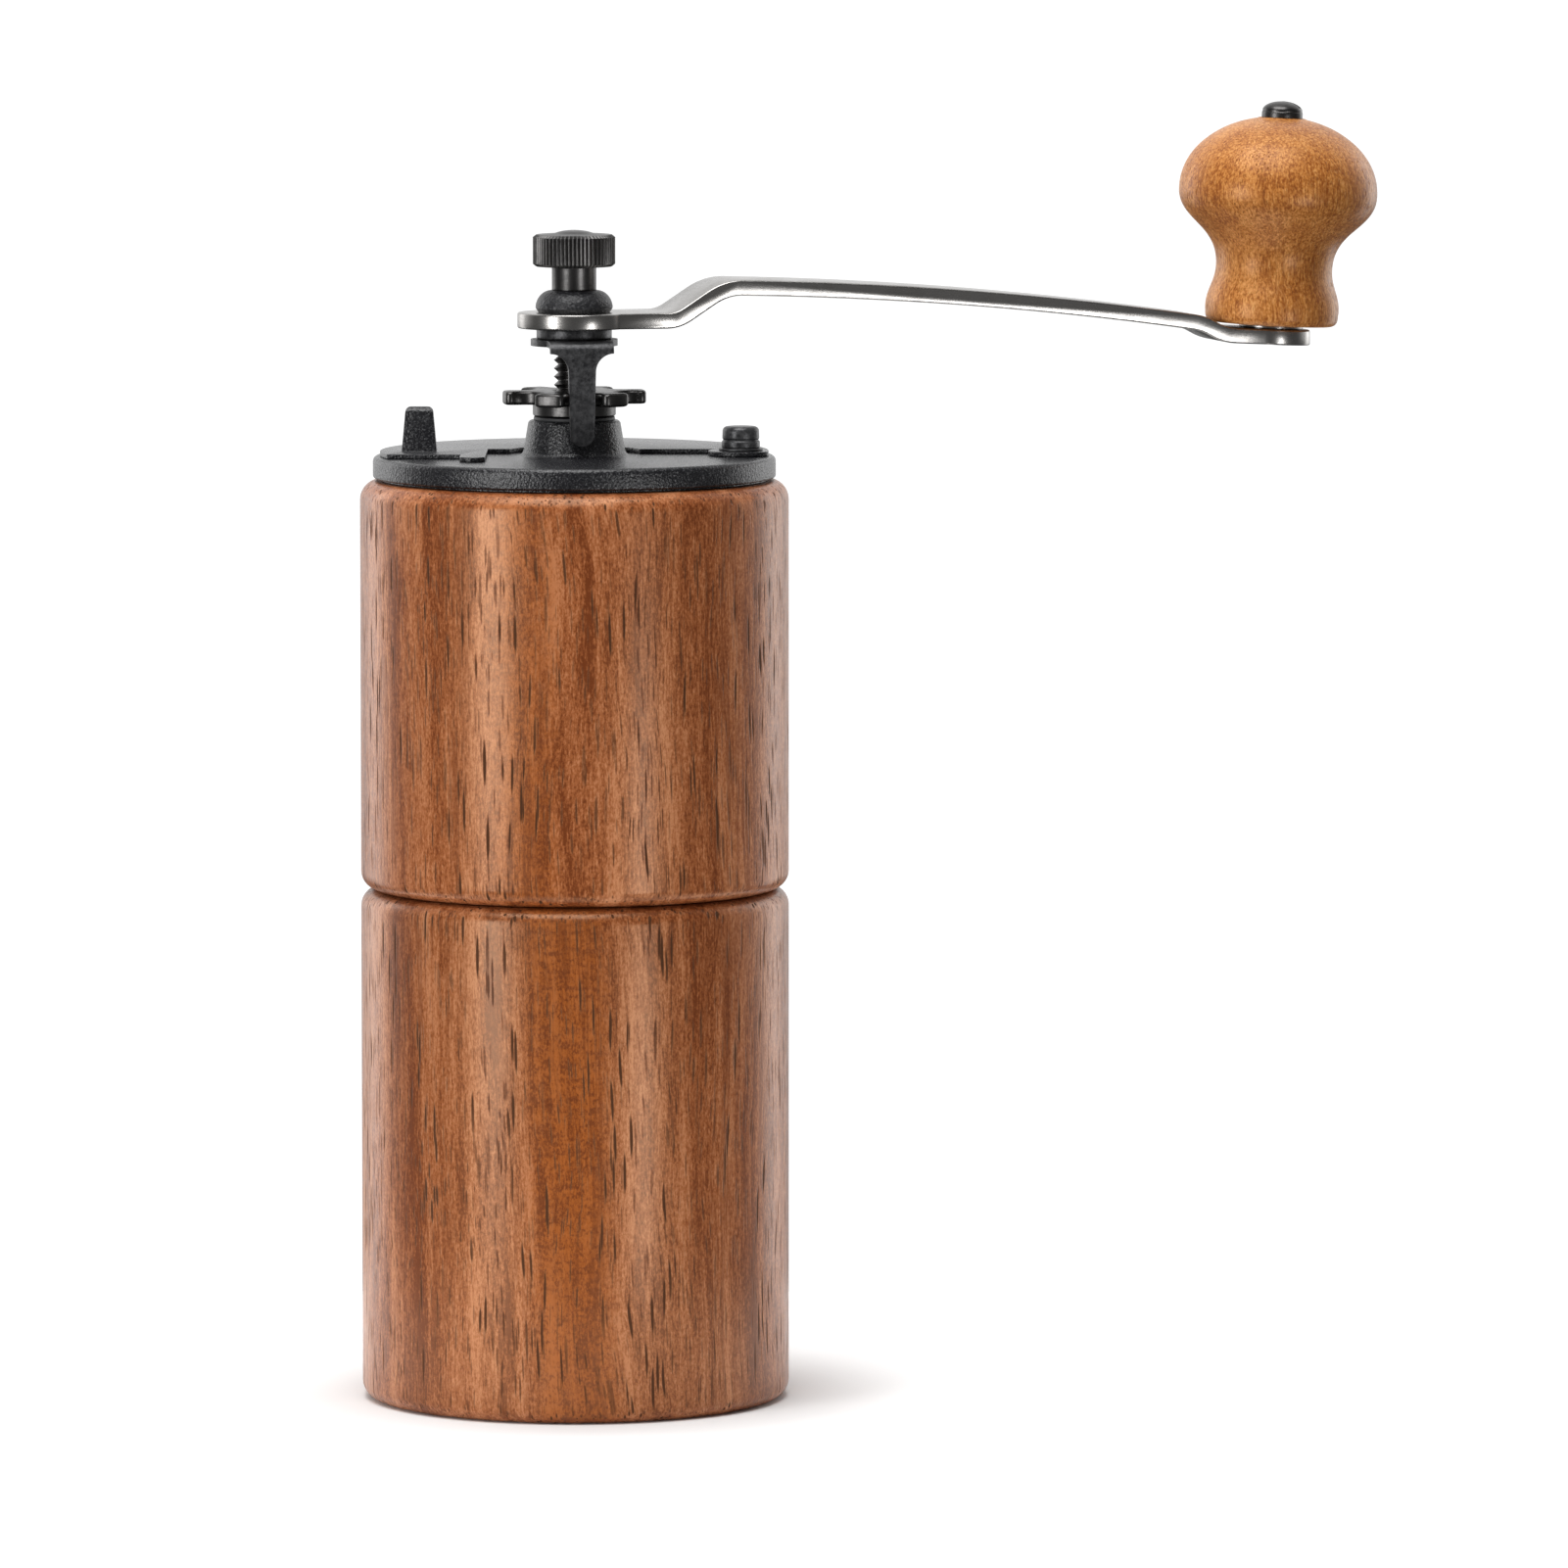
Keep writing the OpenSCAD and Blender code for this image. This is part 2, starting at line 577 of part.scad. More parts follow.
// ---- lock clip: plate on the spindle's square, with a prong in a notch of the wheel ----
module lock_clip() {
    bend = 1.6;
    out_r = prong_r + clip_t;
    half = prong_w / 2;
    top = clip_z + clip_t;
    shoulder = 5.3;
    flank = 2.9;
    color("black") difference() {
        union() {
            translate([0, 0, clip_z]) cylinder(r = clip_plate_r, h = clip_t);
            rotate([0, 0, clip_azimuth]) intersection() {
                translate([0, 8, 0]) rotate([90, 0, 0]) linear_extrude(16) polygon(concat(
                    [[3.6, clip_z], [3.6, top]], arc([out_r - bend, top - bend], bend, 90, 0, 6),
                    [[out_r, prong_tip_z], [prong_r, prong_tip_z]],
                    arc([out_r - bend, top - bend], bend - clip_t, 0, 90, 6)));
                rotate([90, 0, 90]) linear_extrude(out_r + 2) polygon(concat(
                    [[-shoulder, top + 1], [-shoulder, top - 0.8]],
                    arc([-half - flank, top - 0.8 - flank], flank, 90, 0, 6),
                    [[-half, prong_tip_z + 2.2]],
                    arc([0, prong_tip_z + half], half, 180, 360, 12),
                    [[half, prong_tip_z + 2.2]],
                    arc([half + flank, top - 0.8 - flank], flank, 180, 90, 6),
                    [[shoulder, top - 0.8], [shoulder, top + 1]]));
            }
        }
        rotate([0, 0, crank_azimuth]) flatted_shaft(clip_z - 1, clip_t + 2, 4, run_gap);
    }
}

module crank_washer() {
    color("black") difference() {
        translate([0, 0, crank_washer_z]) cylinder(r = crank_washer_r, h = crank_washer_t);
        rotate([0, 0, crank_azimuth]) flatted_shaft(crank_washer_z - 1, crank_washer_t + 2, 4, run_gap);
    }
}

// ---- crank arm: heading of the strip's centre line, in degrees, by distance from the spindle ----
arm_headings = [[0, 0], [13.2, 0], [16.4, 33], [20.2, 33], [25.2, -1.6], [crank_r - 14, -8.4],
                [crank_r - 11, -31], [crank_r - 7.4, -knob_lean], [crank_r + 20, -knob_lean]];
arm_stations = concat([0], [for (k = [0:6]) let (a = arm_headings[k + 1][0], b = arm_headings[k + 2][0],
                                                 n = [6, 1, 8, 14, 4, 5, 1][k])
                               each [for (i = [k == 0 ? 0 : 1:n]) a + (b - a) * i / n]]);
function arm_height(i) =
    i == 0 ? 0 : arm_height(i - 1) + (arm_stations[i] - arm_stations[i - 1])
                 * tan(lookup((arm_stations[i] + arm_stations[i - 1]) / 2, arm_headings));
arm_line = [for (i = [0:len(arm_stations) - 1]) [arm_stations[i], arm_height(i)]];
arm_end = arm_line[len(arm_line) - 2]
    + (crank_r - arm_line[len(arm_line) - 2][0]) * [1, -tan(knob_lean)];

function arm_side(sign) = [for (p = arm_line) let (h = lookup(p[0], arm_headings))
    p + sign * strip_t / 2 * [-sin(h), cos(h)]];

// Frame of the knob's axis: origin on the strip's middle at the knob's eye
module at_knob() {
    rotate([0, 0, crank_azimuth]) translate([crank_r, 0, arm_z + strip_t / 2 + arm_end[1]])
        rotate([0, knob_lean, 0]) children();
}

module crank_arm() {
    upper = arm_side(1);
    lower = arm_side(-1);
    tail = hub_eye_d / 2 + 1;
    root_w = 13.4;
    tip_w = 11.2;
    color("silver") difference() {
        rotate([0, 0, crank_azimuth]) intersection() {
            translate([0, 20, arm_z + strip_t / 2]) rotate([90, 0, 0]) linear_extrude(40)
                polygon(concat([[-tail, -strip_t / 2]], lower,
                               [for (i = [len(upper) - 1:-1:0]) upper[i]], [[-tail, strip_t / 2]]));
            translate([0, 0, arm_z - 30]) linear_extrude(60) union() {
                circle(d = hub_eye_d, $fn = 96);
                translate([crank_r, 0]) circle(d = knob_eye_d, $fn = 64);
                polygon([[0, -root_w / 2], [crank_r, -tip_w / 2], [crank_r, tip_w / 2], [0, root_w / 2]]);
            }
        }
        rotate([0, 0, crank_azimuth]) flatted_shaft(arm_z - 1, strip_t + 2, 4, run_gap);
        at_knob() translate([0, 0, -5]) cylinder(r = knob_screw_r + run_gap, h = 10);
    }
}

// ---- washer and nut on top of the crank ----
module dome_washer() {
    color("black") difference() {
        rotate_extrude($fn = 64) polygon(concat(
            [[0, arm_top], [dome_r - 0.45, arm_top], [dome_r, arm_top + 0.7]],
            bezier([dome_r, arm_top + 0.7], [dome_r, arm_top + 2.1], [4.9, arm_top + dome_h], [3.5, arm_top + dome_h], 8),
            [[0, arm_top + dome_h]]));
        translate([0, 0, arm_top - 1]) cylinder(r = stud_r + run_gap, h = dome_h + 2);
    }
}

module thumb_nut() {
    z0 = arm_top + dome_h;
    z1 = z0 + neck_h;
    z2 = z1 + head_h;
    r = 6.35;
    neck_r = stud_r + 0.92;
    knurls = 60;
    color("dimgray") difference() {
        rotate_extrude($fn = 96) polygon(concat(
            [[0, z0], [neck_r, z0], [neck_r, z1], [r - 0.3, z1], [r, z1 + 0.3], [r, z2 - 0.3], [r - 0.4, z2]],
            bezier([r - 0.4, z2], [4, z2 + crown_h * 0.7], [2, z2 + crown_h], [0, z2 + crown_h], 5)));
        translate([0, 0, z0 - 1]) cylinder(r = stud_r + run_gap, h = stud_top - z0 + 1.3);
        for (i = [0:knurls - 1])
            rotate([0, 0, i * 360 / knurls]) translate([r + 0.1, 0, z1 - 1])
                cylinder(r = 0.3, h = head_h + 3, $fn = 16);
    }
}

// ---- knob on its shoulder screw ----
knob_washer_t = 0.5;
knob_screw_r = 2;
knob_seat_depth = 0.35;     // sunk seat of the screw's head
knob_foot = strip_t / 2 + knob_washer_t + 2 * run_gap;

module knob_washer() {
    color("silver") at_knob() ring(5, knob_screw_r + run_gap, strip_t / 2 + run_gap / 2, knob_washer_t);
}

// Outline of the turned knob, scaled from a 31 mm by 32.4 mm pattern
function knob_pattern() = concat(
    [[0, 0], [8.9, 0]],
    bezier([8.9, 0], [10.1, 0], [10.4, 0.7], [10.4, 1.6], 5),
    bezier([10.4, 1.6], [10.8, 4.6], [9.1, 6], [9.1, 8.8]),
    bezier([9.1, 8.8], [9.1, 11.2], [9.9, 13], [12.1, 15]),
    bezier([12.1, 15], [13.8, 16.6], [15.5, 18], [15.5, 20.6]),
    bezier([15.5, 20.6], [15.5, 24.6], [13.3, 27.6], [10, 29.7]),
    bezier([10, 29.7], [7.2, 31.5], [3.5, 32.4], [0, 32.4]));

module knob() {
    color("peru") at_knob() difference() {
        rotate_extrude($fn = 96)
            polygon([for (p = knob_pattern()) [p[0] * knob_d / 31, knob_foot + p[1] * knob_h / 32.4]]);
        cylinder(r = knob_screw_r + 0.08, h = knob_h + 10);
        translate([0, 0, knob_foot + knob_h - knob_seat_depth]) cylinder(r = 3.6, h = 2);
    }
}

module knob_screw() {
    top = knob_foot + knob_h - knob_seat_depth + run_gap;
    head_r = 3.2;
    slot_azimuth = 72;
    color("silver") at_knob() difference() {
        union() {
            translate([0, 0, -strip_t / 2]) cylinder(r = knob_screw_r, h = top + strip_t / 2 + eps);
            translate([0, 0, top]) cylinder(r = head_r, h = 1);
            translate([0, 0, top + 1 - eps]) rotate_extrude($fn = 48)
                polygon(concat([[0, 0]], [for (p = arc([0, 0], 1, 0, 90, 8)) [p[0] * head_r, p[1] * 1.7]]));
        }
        rotate([0, 0, slot_azimuth]) translate([-0.4, -4, top + 1.7]) cube([0.8, 8, 3]);
    }
}

catch_cup();
hopper_body();
lid_plate();
top_bush();
bean_door();
door_rivet();
door_washer();
burr_carrier();
carrier_screws();
lower_bush();
outer_burr();
burr_circlip();
spigot_ring();
burr_spring();
thrust_washer();
spindle();
inner_burr();
burr_washer();
burr_nut();
adjusting_wheel();
lock_clip();
crank_washer();
crank_arm();
dome_washer();
thumb_nut();
knob_washer();
knob_screw();
knob();
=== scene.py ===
"""Finished look of a hand-cranked burr coffee mill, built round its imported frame.

Sizes are in millimetres and angles in degrees, apart from places handed to Blender, which are in metres.
Every piece takes its place from the frame: the node it stands for, or the joint it turns on.
"""

import json
import logging
import math
from collections.abc import Callable, Sequence
from dataclasses import dataclass
from enum import Enum
from typing import Any

import bmesh
import bpy
from mathutils import Matrix, Vector


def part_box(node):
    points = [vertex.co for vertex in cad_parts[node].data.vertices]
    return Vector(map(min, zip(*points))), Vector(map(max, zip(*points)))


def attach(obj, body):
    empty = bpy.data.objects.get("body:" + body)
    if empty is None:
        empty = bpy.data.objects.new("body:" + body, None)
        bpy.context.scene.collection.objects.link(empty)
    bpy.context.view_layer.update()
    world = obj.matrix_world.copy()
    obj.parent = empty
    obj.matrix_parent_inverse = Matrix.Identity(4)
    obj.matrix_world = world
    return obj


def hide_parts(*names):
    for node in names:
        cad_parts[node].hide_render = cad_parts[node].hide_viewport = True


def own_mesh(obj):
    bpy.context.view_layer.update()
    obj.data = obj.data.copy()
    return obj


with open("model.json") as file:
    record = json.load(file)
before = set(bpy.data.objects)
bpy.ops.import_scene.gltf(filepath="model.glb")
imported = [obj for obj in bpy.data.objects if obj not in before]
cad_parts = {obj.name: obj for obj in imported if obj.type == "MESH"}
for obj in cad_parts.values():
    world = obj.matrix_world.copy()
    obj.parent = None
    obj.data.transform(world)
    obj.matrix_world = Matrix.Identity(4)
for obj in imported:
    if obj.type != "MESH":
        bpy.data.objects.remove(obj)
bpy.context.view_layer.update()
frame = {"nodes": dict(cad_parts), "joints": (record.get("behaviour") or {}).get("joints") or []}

LOG = logging.getLogger("coffee_mill")
MM = 0.001
BARREL_ROUND = 192      # sides of a barrel
LID_ROUND = 160         # sides of the lid
ROUND = 128             # sides of the knob and the sealing ring
SMALL_ROUND = 64        # sides of a small turned piece
SCREW_ROUND = 24        # sides of a carrier screw
CRISP = 32.0            # edges that turn by more than this stay sharp
BEVELLED_CRISP = 40.0   # the same, on a piece whose corners are already rounded
NEARLY_STRAIGHT = 0.01  # a corner this close to straight isn't rounded, in radians
ON_AXIS = 1e-6          # a turned profile's point nearer the axis than this becomes a pole
SAME_POINT = 1e-4       # points closer than this are one
CUT_MARGIN = 2.0        # how far a cutting tool runs past what it cuts

Point2 = tuple[float, float]
Colour = tuple[float, float, float]
Profile = list[Point2]


class Body(str, Enum):
    """The frame's moving bodies."""

    CUP = "cup"
    MILL = "mill"
    DOOR = "door"
    THRUST = "thrust"
    DRIVE = "drive"
    WHEEL = "wheel"
    GRIP = "grip"


class Slot(str, Enum):
    """The record's material slots."""

    BARREL_WOOD = "barrel_wood"
    KNOB_WOOD = "knob_wood"
    CAST_BLACK = "cast_black"
    BLACK_STEEL = "black_steel"
    PLATED_STEEL = "plated_steel"
    DARK_PLATE = "dark_plate"
    BRIGHT_STEEL = "bright_steel"
    BUSH_NYLON = "bush_nylon"
    CARRIER_PLASTIC = "carrier_plastic"
    BURR_CERAMIC = "burr_ceramic"
    RING_RUBBER = "ring_rubber"


@dataclass(frozen=True)
class Span:
    """The box of one frame node, in millimetres."""

    low: Vector
    high: Vector

    @classmethod
    def of(cls, node: str) -> "Span":
        """Measures a node of the frame.

        Args:
            node: The node's name.

        Returns:
            Its box at rest.
        """
        low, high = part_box(node)
        return cls(low / MM, high / MM)

    @property
    def radius(self) -> float:
        """Half of the box's width along X."""
        return (self.high.x - self.low.x) / 2

    @property
    def foot(self) -> float:
        """Height of the lowest point."""
        return self.low.z

    @property
    def top(self) -> float:
        """Height of the highest point."""
        return self.high.z

    @property
    def centre(self) -> Point2:
        """Middle of the box in plan."""
        middle = (self.low + self.high) / 2
        return middle.x, middle.y


def joint(name: str) -> dict[str, Any]:
    """Finds a joint of the frame by name."""
    return next(j for j in frame["joints"] if j["name"] == name)


# ---------------------------------------------------------------- outlines and turned shapes


def quarter(steps: int) -> list[float]:
    """Angles from 0 to a right angle, in radians, both ends included."""
    return [math.pi / 2 * k / steps for k in range(steps + 1)]


def arc(centre: Point2, radius: float, start: float, end: float, steps: int) -> Profile:
    """Points along a circular arc.

    Args:
        centre: Middle of the circle.
        radius: Its radius.
        start: Angle of the first point.
        end: Angle of the last point.
        steps: Number of chords.

    Returns:
        The points, both ends included.
    """
    turn = [math.radians(start + (end - start) * i / steps) for i in range(steps + 1)]
    return [(centre[0] + radius * math.cos(a), centre[1] + radius * math.sin(a)) for a in turn]


def bezier(p0: Point2, p1: Point2, p2: Point2, p3: Point2, steps: int = 12) -> Profile:
    """Points along a cubic curve.

    Args:
        p0: Where the curve starts.
        p1: The first handle.
        p2: The second handle.
        p3: Where the curve ends.
        steps: Number of chords.

    Returns:
        The points, without the first one.
    """
    points = []
    for i in range(1, steps + 1):
        t = i / steps
        u = 1 - t
        weights = (u ** 3, 3 * u * u * t, 3 * u * t * t, t ** 3)
        points.append(tuple(sum(w * p[k] for w, p in zip(weights, (p0, p1, p2, p3))) for k in (0, 1)))
    return points


def rounded(corners: Sequence[tuple[float, float, float]], steps: int, closed: bool = False) -> Profile:
    """Rounds the corners of an outline.

    Args:
        corners: Each corner's two coordinates and its radius, 0 for a sharp one.
        steps: Chords in each rounded corner.
        closed: True if the last corner joins the first.

    Returns:
        The outline's points.
    """
    points: Profile = []
    count = len(corners)
    for i, (x, y, radius) in enumerate(corners):
        here = Vector((x, y))
        if radius <= 0 or (not closed and i in (0, count - 1)):
            points.append((x, y))
            continue
        before = (Vector(corners[i - 1][:2]) - here).normalized()
        after = (Vector(corners[(i + 1) % count][:2]) - here).normalized()
        half = before.angle(after) / 2
        if abs(half - math.pi / 2) < NEARLY_STRAIGHT:
            points.append((x, y))
            continue
        reach = radius / math.tan(half)
        middle = here + (before + after).normalized() * radius / math.sin(half)
        first, last = here + before * reach - middle, here + after * reach - middle
        sweep = first.angle_signed(last)
        for k in range(steps + 1):
            spoke = first.copy()
            spoke.rotate(Matrix.Rotation(-sweep * k / steps, 2))
            points.append(tuple(middle + spoke))
    return points


def mesh_object(name: str, shape: bmesh.types.BMesh) -> bpy.types.Object:
    """Makes an object from a shape in millimetres.

    Args:
        name: The object's name.
        shape: The shape, which is freed.

    Returns:
        An object at the origin, with its mesh in metres and its faces outwards.
    """
    bmesh.ops.remove_doubles(shape, verts=shape.verts, dist=SAME_POINT)
    bmesh.ops.recalc_face_normals(shape, faces=shape.faces)
    set_edges(shape, CRISP)
    shape.transform(Matrix.Scale(MM, 4))
    mesh = bpy.data.meshes.new(name)
    shape.to_mesh(mesh)
    shape.free()
    made = bpy.data.objects.new(name, mesh)
    bpy.context.scene.collection.objects.link(made)
    return made


def set_edges(shape: bmesh.types.BMesh, sharp: float) -> None:
    """Smooths every face of a shape, apart from its sharp edges.

    Args:
        shape: The shape.
        sharp: Edges that turn by more than this stay sharp.
    """
    limit = math.radians(sharp)
    for face in shape.faces:
        face.smooth = True
    for edge in shape.edges:
        edge.smooth = len(edge.link_faces) == 2 and edge.calc_face_angle(0) < limit


def ringed(name: str, rings: Sequence[Sequence[Vector]], closed: bool) -> bpy.types.Object:
    """Joins rings of equally many points into a surface.

    Args:
        name: The object's name.
        rings: The rings, in order. A ring of one point is a pole.
        closed: True if the last ring joins the first.

    Returns:
        The object.
    """
    shape = bmesh.new()
    made = [[shape.verts.new(p) for p in ring] for ring in rings]
    pairs = list(zip(made, made[1:])) + ([(made[-1], made[0])] if closed else [])
    for lower, upper in pairs:
        low, high = len(lower), len(upper)
        sides = max(low, high)
        for k in range(sides):
            n = (k + 1) % sides
            quad = [lower[k % low], lower[n % low], upper[n % high], upper[k % high]]
            corners = list(dict.fromkeys(quad))
            if len(corners) > 2:
                shape.faces.new(corners)
    return mesh_object(name, shape)


def turned(name: str, profile: Profile, sides: int = ROUND, closed: bool = False,
           centre: Point2 = (0.0, 0.0)) -> bpy.types.Object:
    """Turns a profile about the Z axis, as on a lathe.

    Args:
        name: The object's name.
        profile: Radius and height of each point.
        sides: Number of steps round the axis.
        closed: True for a profile that closes on itself, such as a ring's.
        centre: Where the axis stands in plan.

    Returns:
        The object.
    """
    rings = []
    for radius, height in profile:
        count = 1 if radius < ON_AXIS else sides
        turn = [2 * math.pi * k / sides for k in range(count)]
        rings.append([Vector((centre[0] + radius * math.cos(a), centre[1] + radius * math.sin(a), height))
                      for a in turn])
    return ringed(name, rings, closed)


def annulus(name: str, node: str, bore: float, edge: float = 0.12) -> bpy.types.Object:
    """Turns a plain washer with eased edges in the place of a node.

    Args:
        name: The object's name.
        node: The node it stands for.
        bore: Radius of its hole.
        edge: Radius of its eased edges.

    Returns:
        The object.
    """
    span = Span.of(node)
    corners = [(bore, span.foot, edge), (span.radius, span.foot, edge), (span.radius, span.top, edge),
               (bore, span.top, edge)]
    section = rounded(corners, closed=True, steps=3)
    return turned(name, section, SMALL_ROUND, closed=True, centre=span.centre)


def applied(made: bpy.types.Object, sharp: float = CRISP) -> bpy.types.Object:
    """Turns an object's modifiers into plain mesh.

    Args:
        made: The object, with its modifiers set.
        sharp: Edges that turn by more than this stay sharp.

    Returns:
        The same object, with the result as its mesh and no modifier left.
    """
    bpy.context.view_layer.update()
    evaluated = made.evaluated_get(bpy.context.evaluated_depsgraph_get())
    mesh = bpy.data.meshes.new_from_object(evaluated)
    made.modifiers.clear()
    made.data = mesh
    shape = bmesh.new()
    shape.from_mesh(mesh)
    set_edges(shape, sharp)
    shape.to_mesh(mesh)
    shape.free()
    return made


def bevelled(made: bpy.types.Object, width: float, steps: int = 3,
             angle: float = BEVELLED_CRISP) -> bpy.types.Object:
    """Rounds an object's corners.

    Args:
        made: The object.
        width: Width of the rounding.
        steps: Number of facets across it.
        angle: Only edges that turn by more than this are rounded.

    Returns:
        The same object.
    """
    bevel = made.modifiers.new("eased edges", "BEVEL")
    bevel.width = width * MM
    bevel.segments = steps
    bevel.limit_method = "ANGLE"
    bevel.angle_limit = math.radians(angle)
    bevel.miter_outer = "MITER_ARC"
    return applied(made, BEVELLED_CRISP)


def cut(made: bpy.types.Object, cutter: bpy.types.Object) -> bpy.types.Object:
    """Takes one solid out of another.

    Args:
        made: The object to cut.
        cutter: The solid to take out of it, which is removed.

    Returns:
        The first object.
    """
    boolean = made.modifiers.new("cut", "BOOLEAN")
    boolean.operation = "DIFFERENCE"
    boolean.solver = "EXACT"
    boolean.object = cutter
    applied(made)
    bpy.data.objects.remove(cutter)
    return made


def prism(name: str, outline: Profile, foot: float, top: float) -> bpy.types.Object:
    """Extrudes an outline upwards.

    Args:
        name: The object's name.
        outline: The outline in plan.
        foot: Height of the underside.
        top: Height of the top.

    Returns:
        The object, a closed solid.
    """
    shape = bmesh.new()
    lower = [shape.verts.new((x, y, foot)) for x, y in outline]
    upper = [shape.verts.new((x, y, top)) for x, y in outline]
    shape.faces.new(lower)
    shape.faces.new(upper)
    for k in range(len(outline)):
        n = (k + 1) % len(outline)
        shape.faces.new((lower[k], lower[n], upper[n], upper[k]))
    return mesh_object(name, shape)


def refined(name: str, node: str, ease: float, steps: int = 2) -> bpy.types.Object:
    """Makes a clean copy of a node with rounded corners.

    Args:
        name: The new object's name.
        node: The node whose shape is right.
        ease: Width of the rounding at its corners.
        steps: Facets across the rounding.

    Returns:
        The copy, merged, smoothed and bevelled.
    """
    weld, sliver, flat = 0.002, 0.001, math.radians(0.4)
    shape = bmesh.new()
    shape.from_mesh(frame["nodes"][node].data)
    shape.transform(Matrix.Scale(1 / MM, 4))
    bmesh.ops.remove_doubles(shape, verts=shape.verts, dist=weld)
    bmesh.ops.dissolve_degenerate(shape, edges=shape.edges, dist=sliver)
    bmesh.ops.dissolve_limit(shape, angle_limit=flat, verts=shape.verts, edges=shape.edges)
    return bevelled(mesh_object(name, shape), ease, steps)


# ---------------------------------------------------------------- node trees


class Value:
    """A node socket that takes part in arithmetic."""

    def __init__(self, tree: "Tree", socket: bpy.types.NodeSocket) -> None:
        """Wraps an output socket of a tree."""
        self.tree = tree
        self.socket = socket

    def _math(self, operation: str, *terms: Any) -> "Value":
        """Adds one Math node on some terms."""
        return self.tree.node("ShaderNodeMath", {"operation": operation}, dict(enumerate(terms))).out()

    def __add__(self, other: Any) -> "Value":
        """self + other."""
        return self._math("ADD", self, other)

    __radd__ = __add__

    def __sub__(self, other: Any) -> "Value":
        """self - other."""
        return self._math("SUBTRACT", self, other)

    def __rsub__(self, other: Any) -> "Value":
        """other - self."""
        return self._math("SUBTRACT", other, self)

    def __mul__(self, other: Any) -> "Value":
        """self * other."""
        return self._math("MULTIPLY", self, other)

    __rmul__ = __mul__

    def __truediv__(self, other: Any) -> "Value":
        """self / other."""
        return self._math("DIVIDE", self, other)

    def power(self, exponent: float) -> "Value":
        """self to a power."""
        return self._math("POWER", self, exponent)

    def cosine(self) -> "Value":
        """Cosine of self, in radians."""
        return self._math("COSINE", self)

    def bearing(self, other: Any) -> "Value":
        """Angle whose tangent is self over other, in radians."""
        return self._math("ARCTAN2", self, other)

    def size(self) -> "Value":
        """self without its sign."""
        return self._math("ABSOLUTE", self)

    def at_least(self, other: Any) -> "Value":
        """The greater of self and other."""
        return self._math("MAXIMUM", self, other)

    def step(self, low: float, high: float) -> "Value":
        """0 below low and 1 above high, with a smooth rise between them."""
        return self.tree.node("ShaderNodeMapRange", {"interpolation_type": "SMOOTHSTEP"},
                              {"Value": self, "From Min": low, "From Max": high}).out("Result")


class Placed:
    """A node in a tree."""

    def __init__(self, tree: "Tree", node: bpy.types.Node) -> None:
        """Wraps a node of a tree."""
        self.tree = tree
        self.node = node

    def out(self, name: int | str = 0) -> Value:
        """One of the node's outputs."""
        return Value(self.tree, self.node.outputs[name])


class Tree:
    """A node tree, for shading or for geometry."""

    def __init__(self, tree: bpy.types.NodeTree) -> None:
        """Wraps a tree of Blender's."""
        self.tree = tree

    def node(self, kind: str, settings: dict[str, Any] | None = None,
             sockets: dict[int | str, Any] | None = None) -> Placed:
        """Adds a node.

        Args:
            kind: The node's type.
            settings: Its settings, set before its sockets. A ramp's stops go under "stops".
            sockets: Values or links for its inputs, by name or number.

        Returns:
            The node.
        """
        made = self.tree.nodes.new(kind)
        for key, value in (settings or {}).items():
            if key == "stops":
                self._set_stops(made, value)
            else:
                setattr(made, key, value)
        for key, value in (sockets or {}).items():
            if isinstance(value, Value):
                self.tree.links.new(value.socket, made.inputs[key])
            else:
                made.inputs[key].default_value = value
        return Placed(self, made)

    @staticmethod
    def _set_stops(ramp: bpy.types.Node, stops: Sequence[tuple[float, Colour]]) -> None:
        """Sets a colour ramp's stops.

        Args:
            ramp: The ramp's node.
            stops: Place and colour of each stop.
        """
        elements = ramp.color_ramp.elements
        while len(elements) < len(stops):
            elements.new(0.5)
        for element, (place, colour) in zip(elements, stops):
            element.position = place
            element.color = (*colour, 1.0)


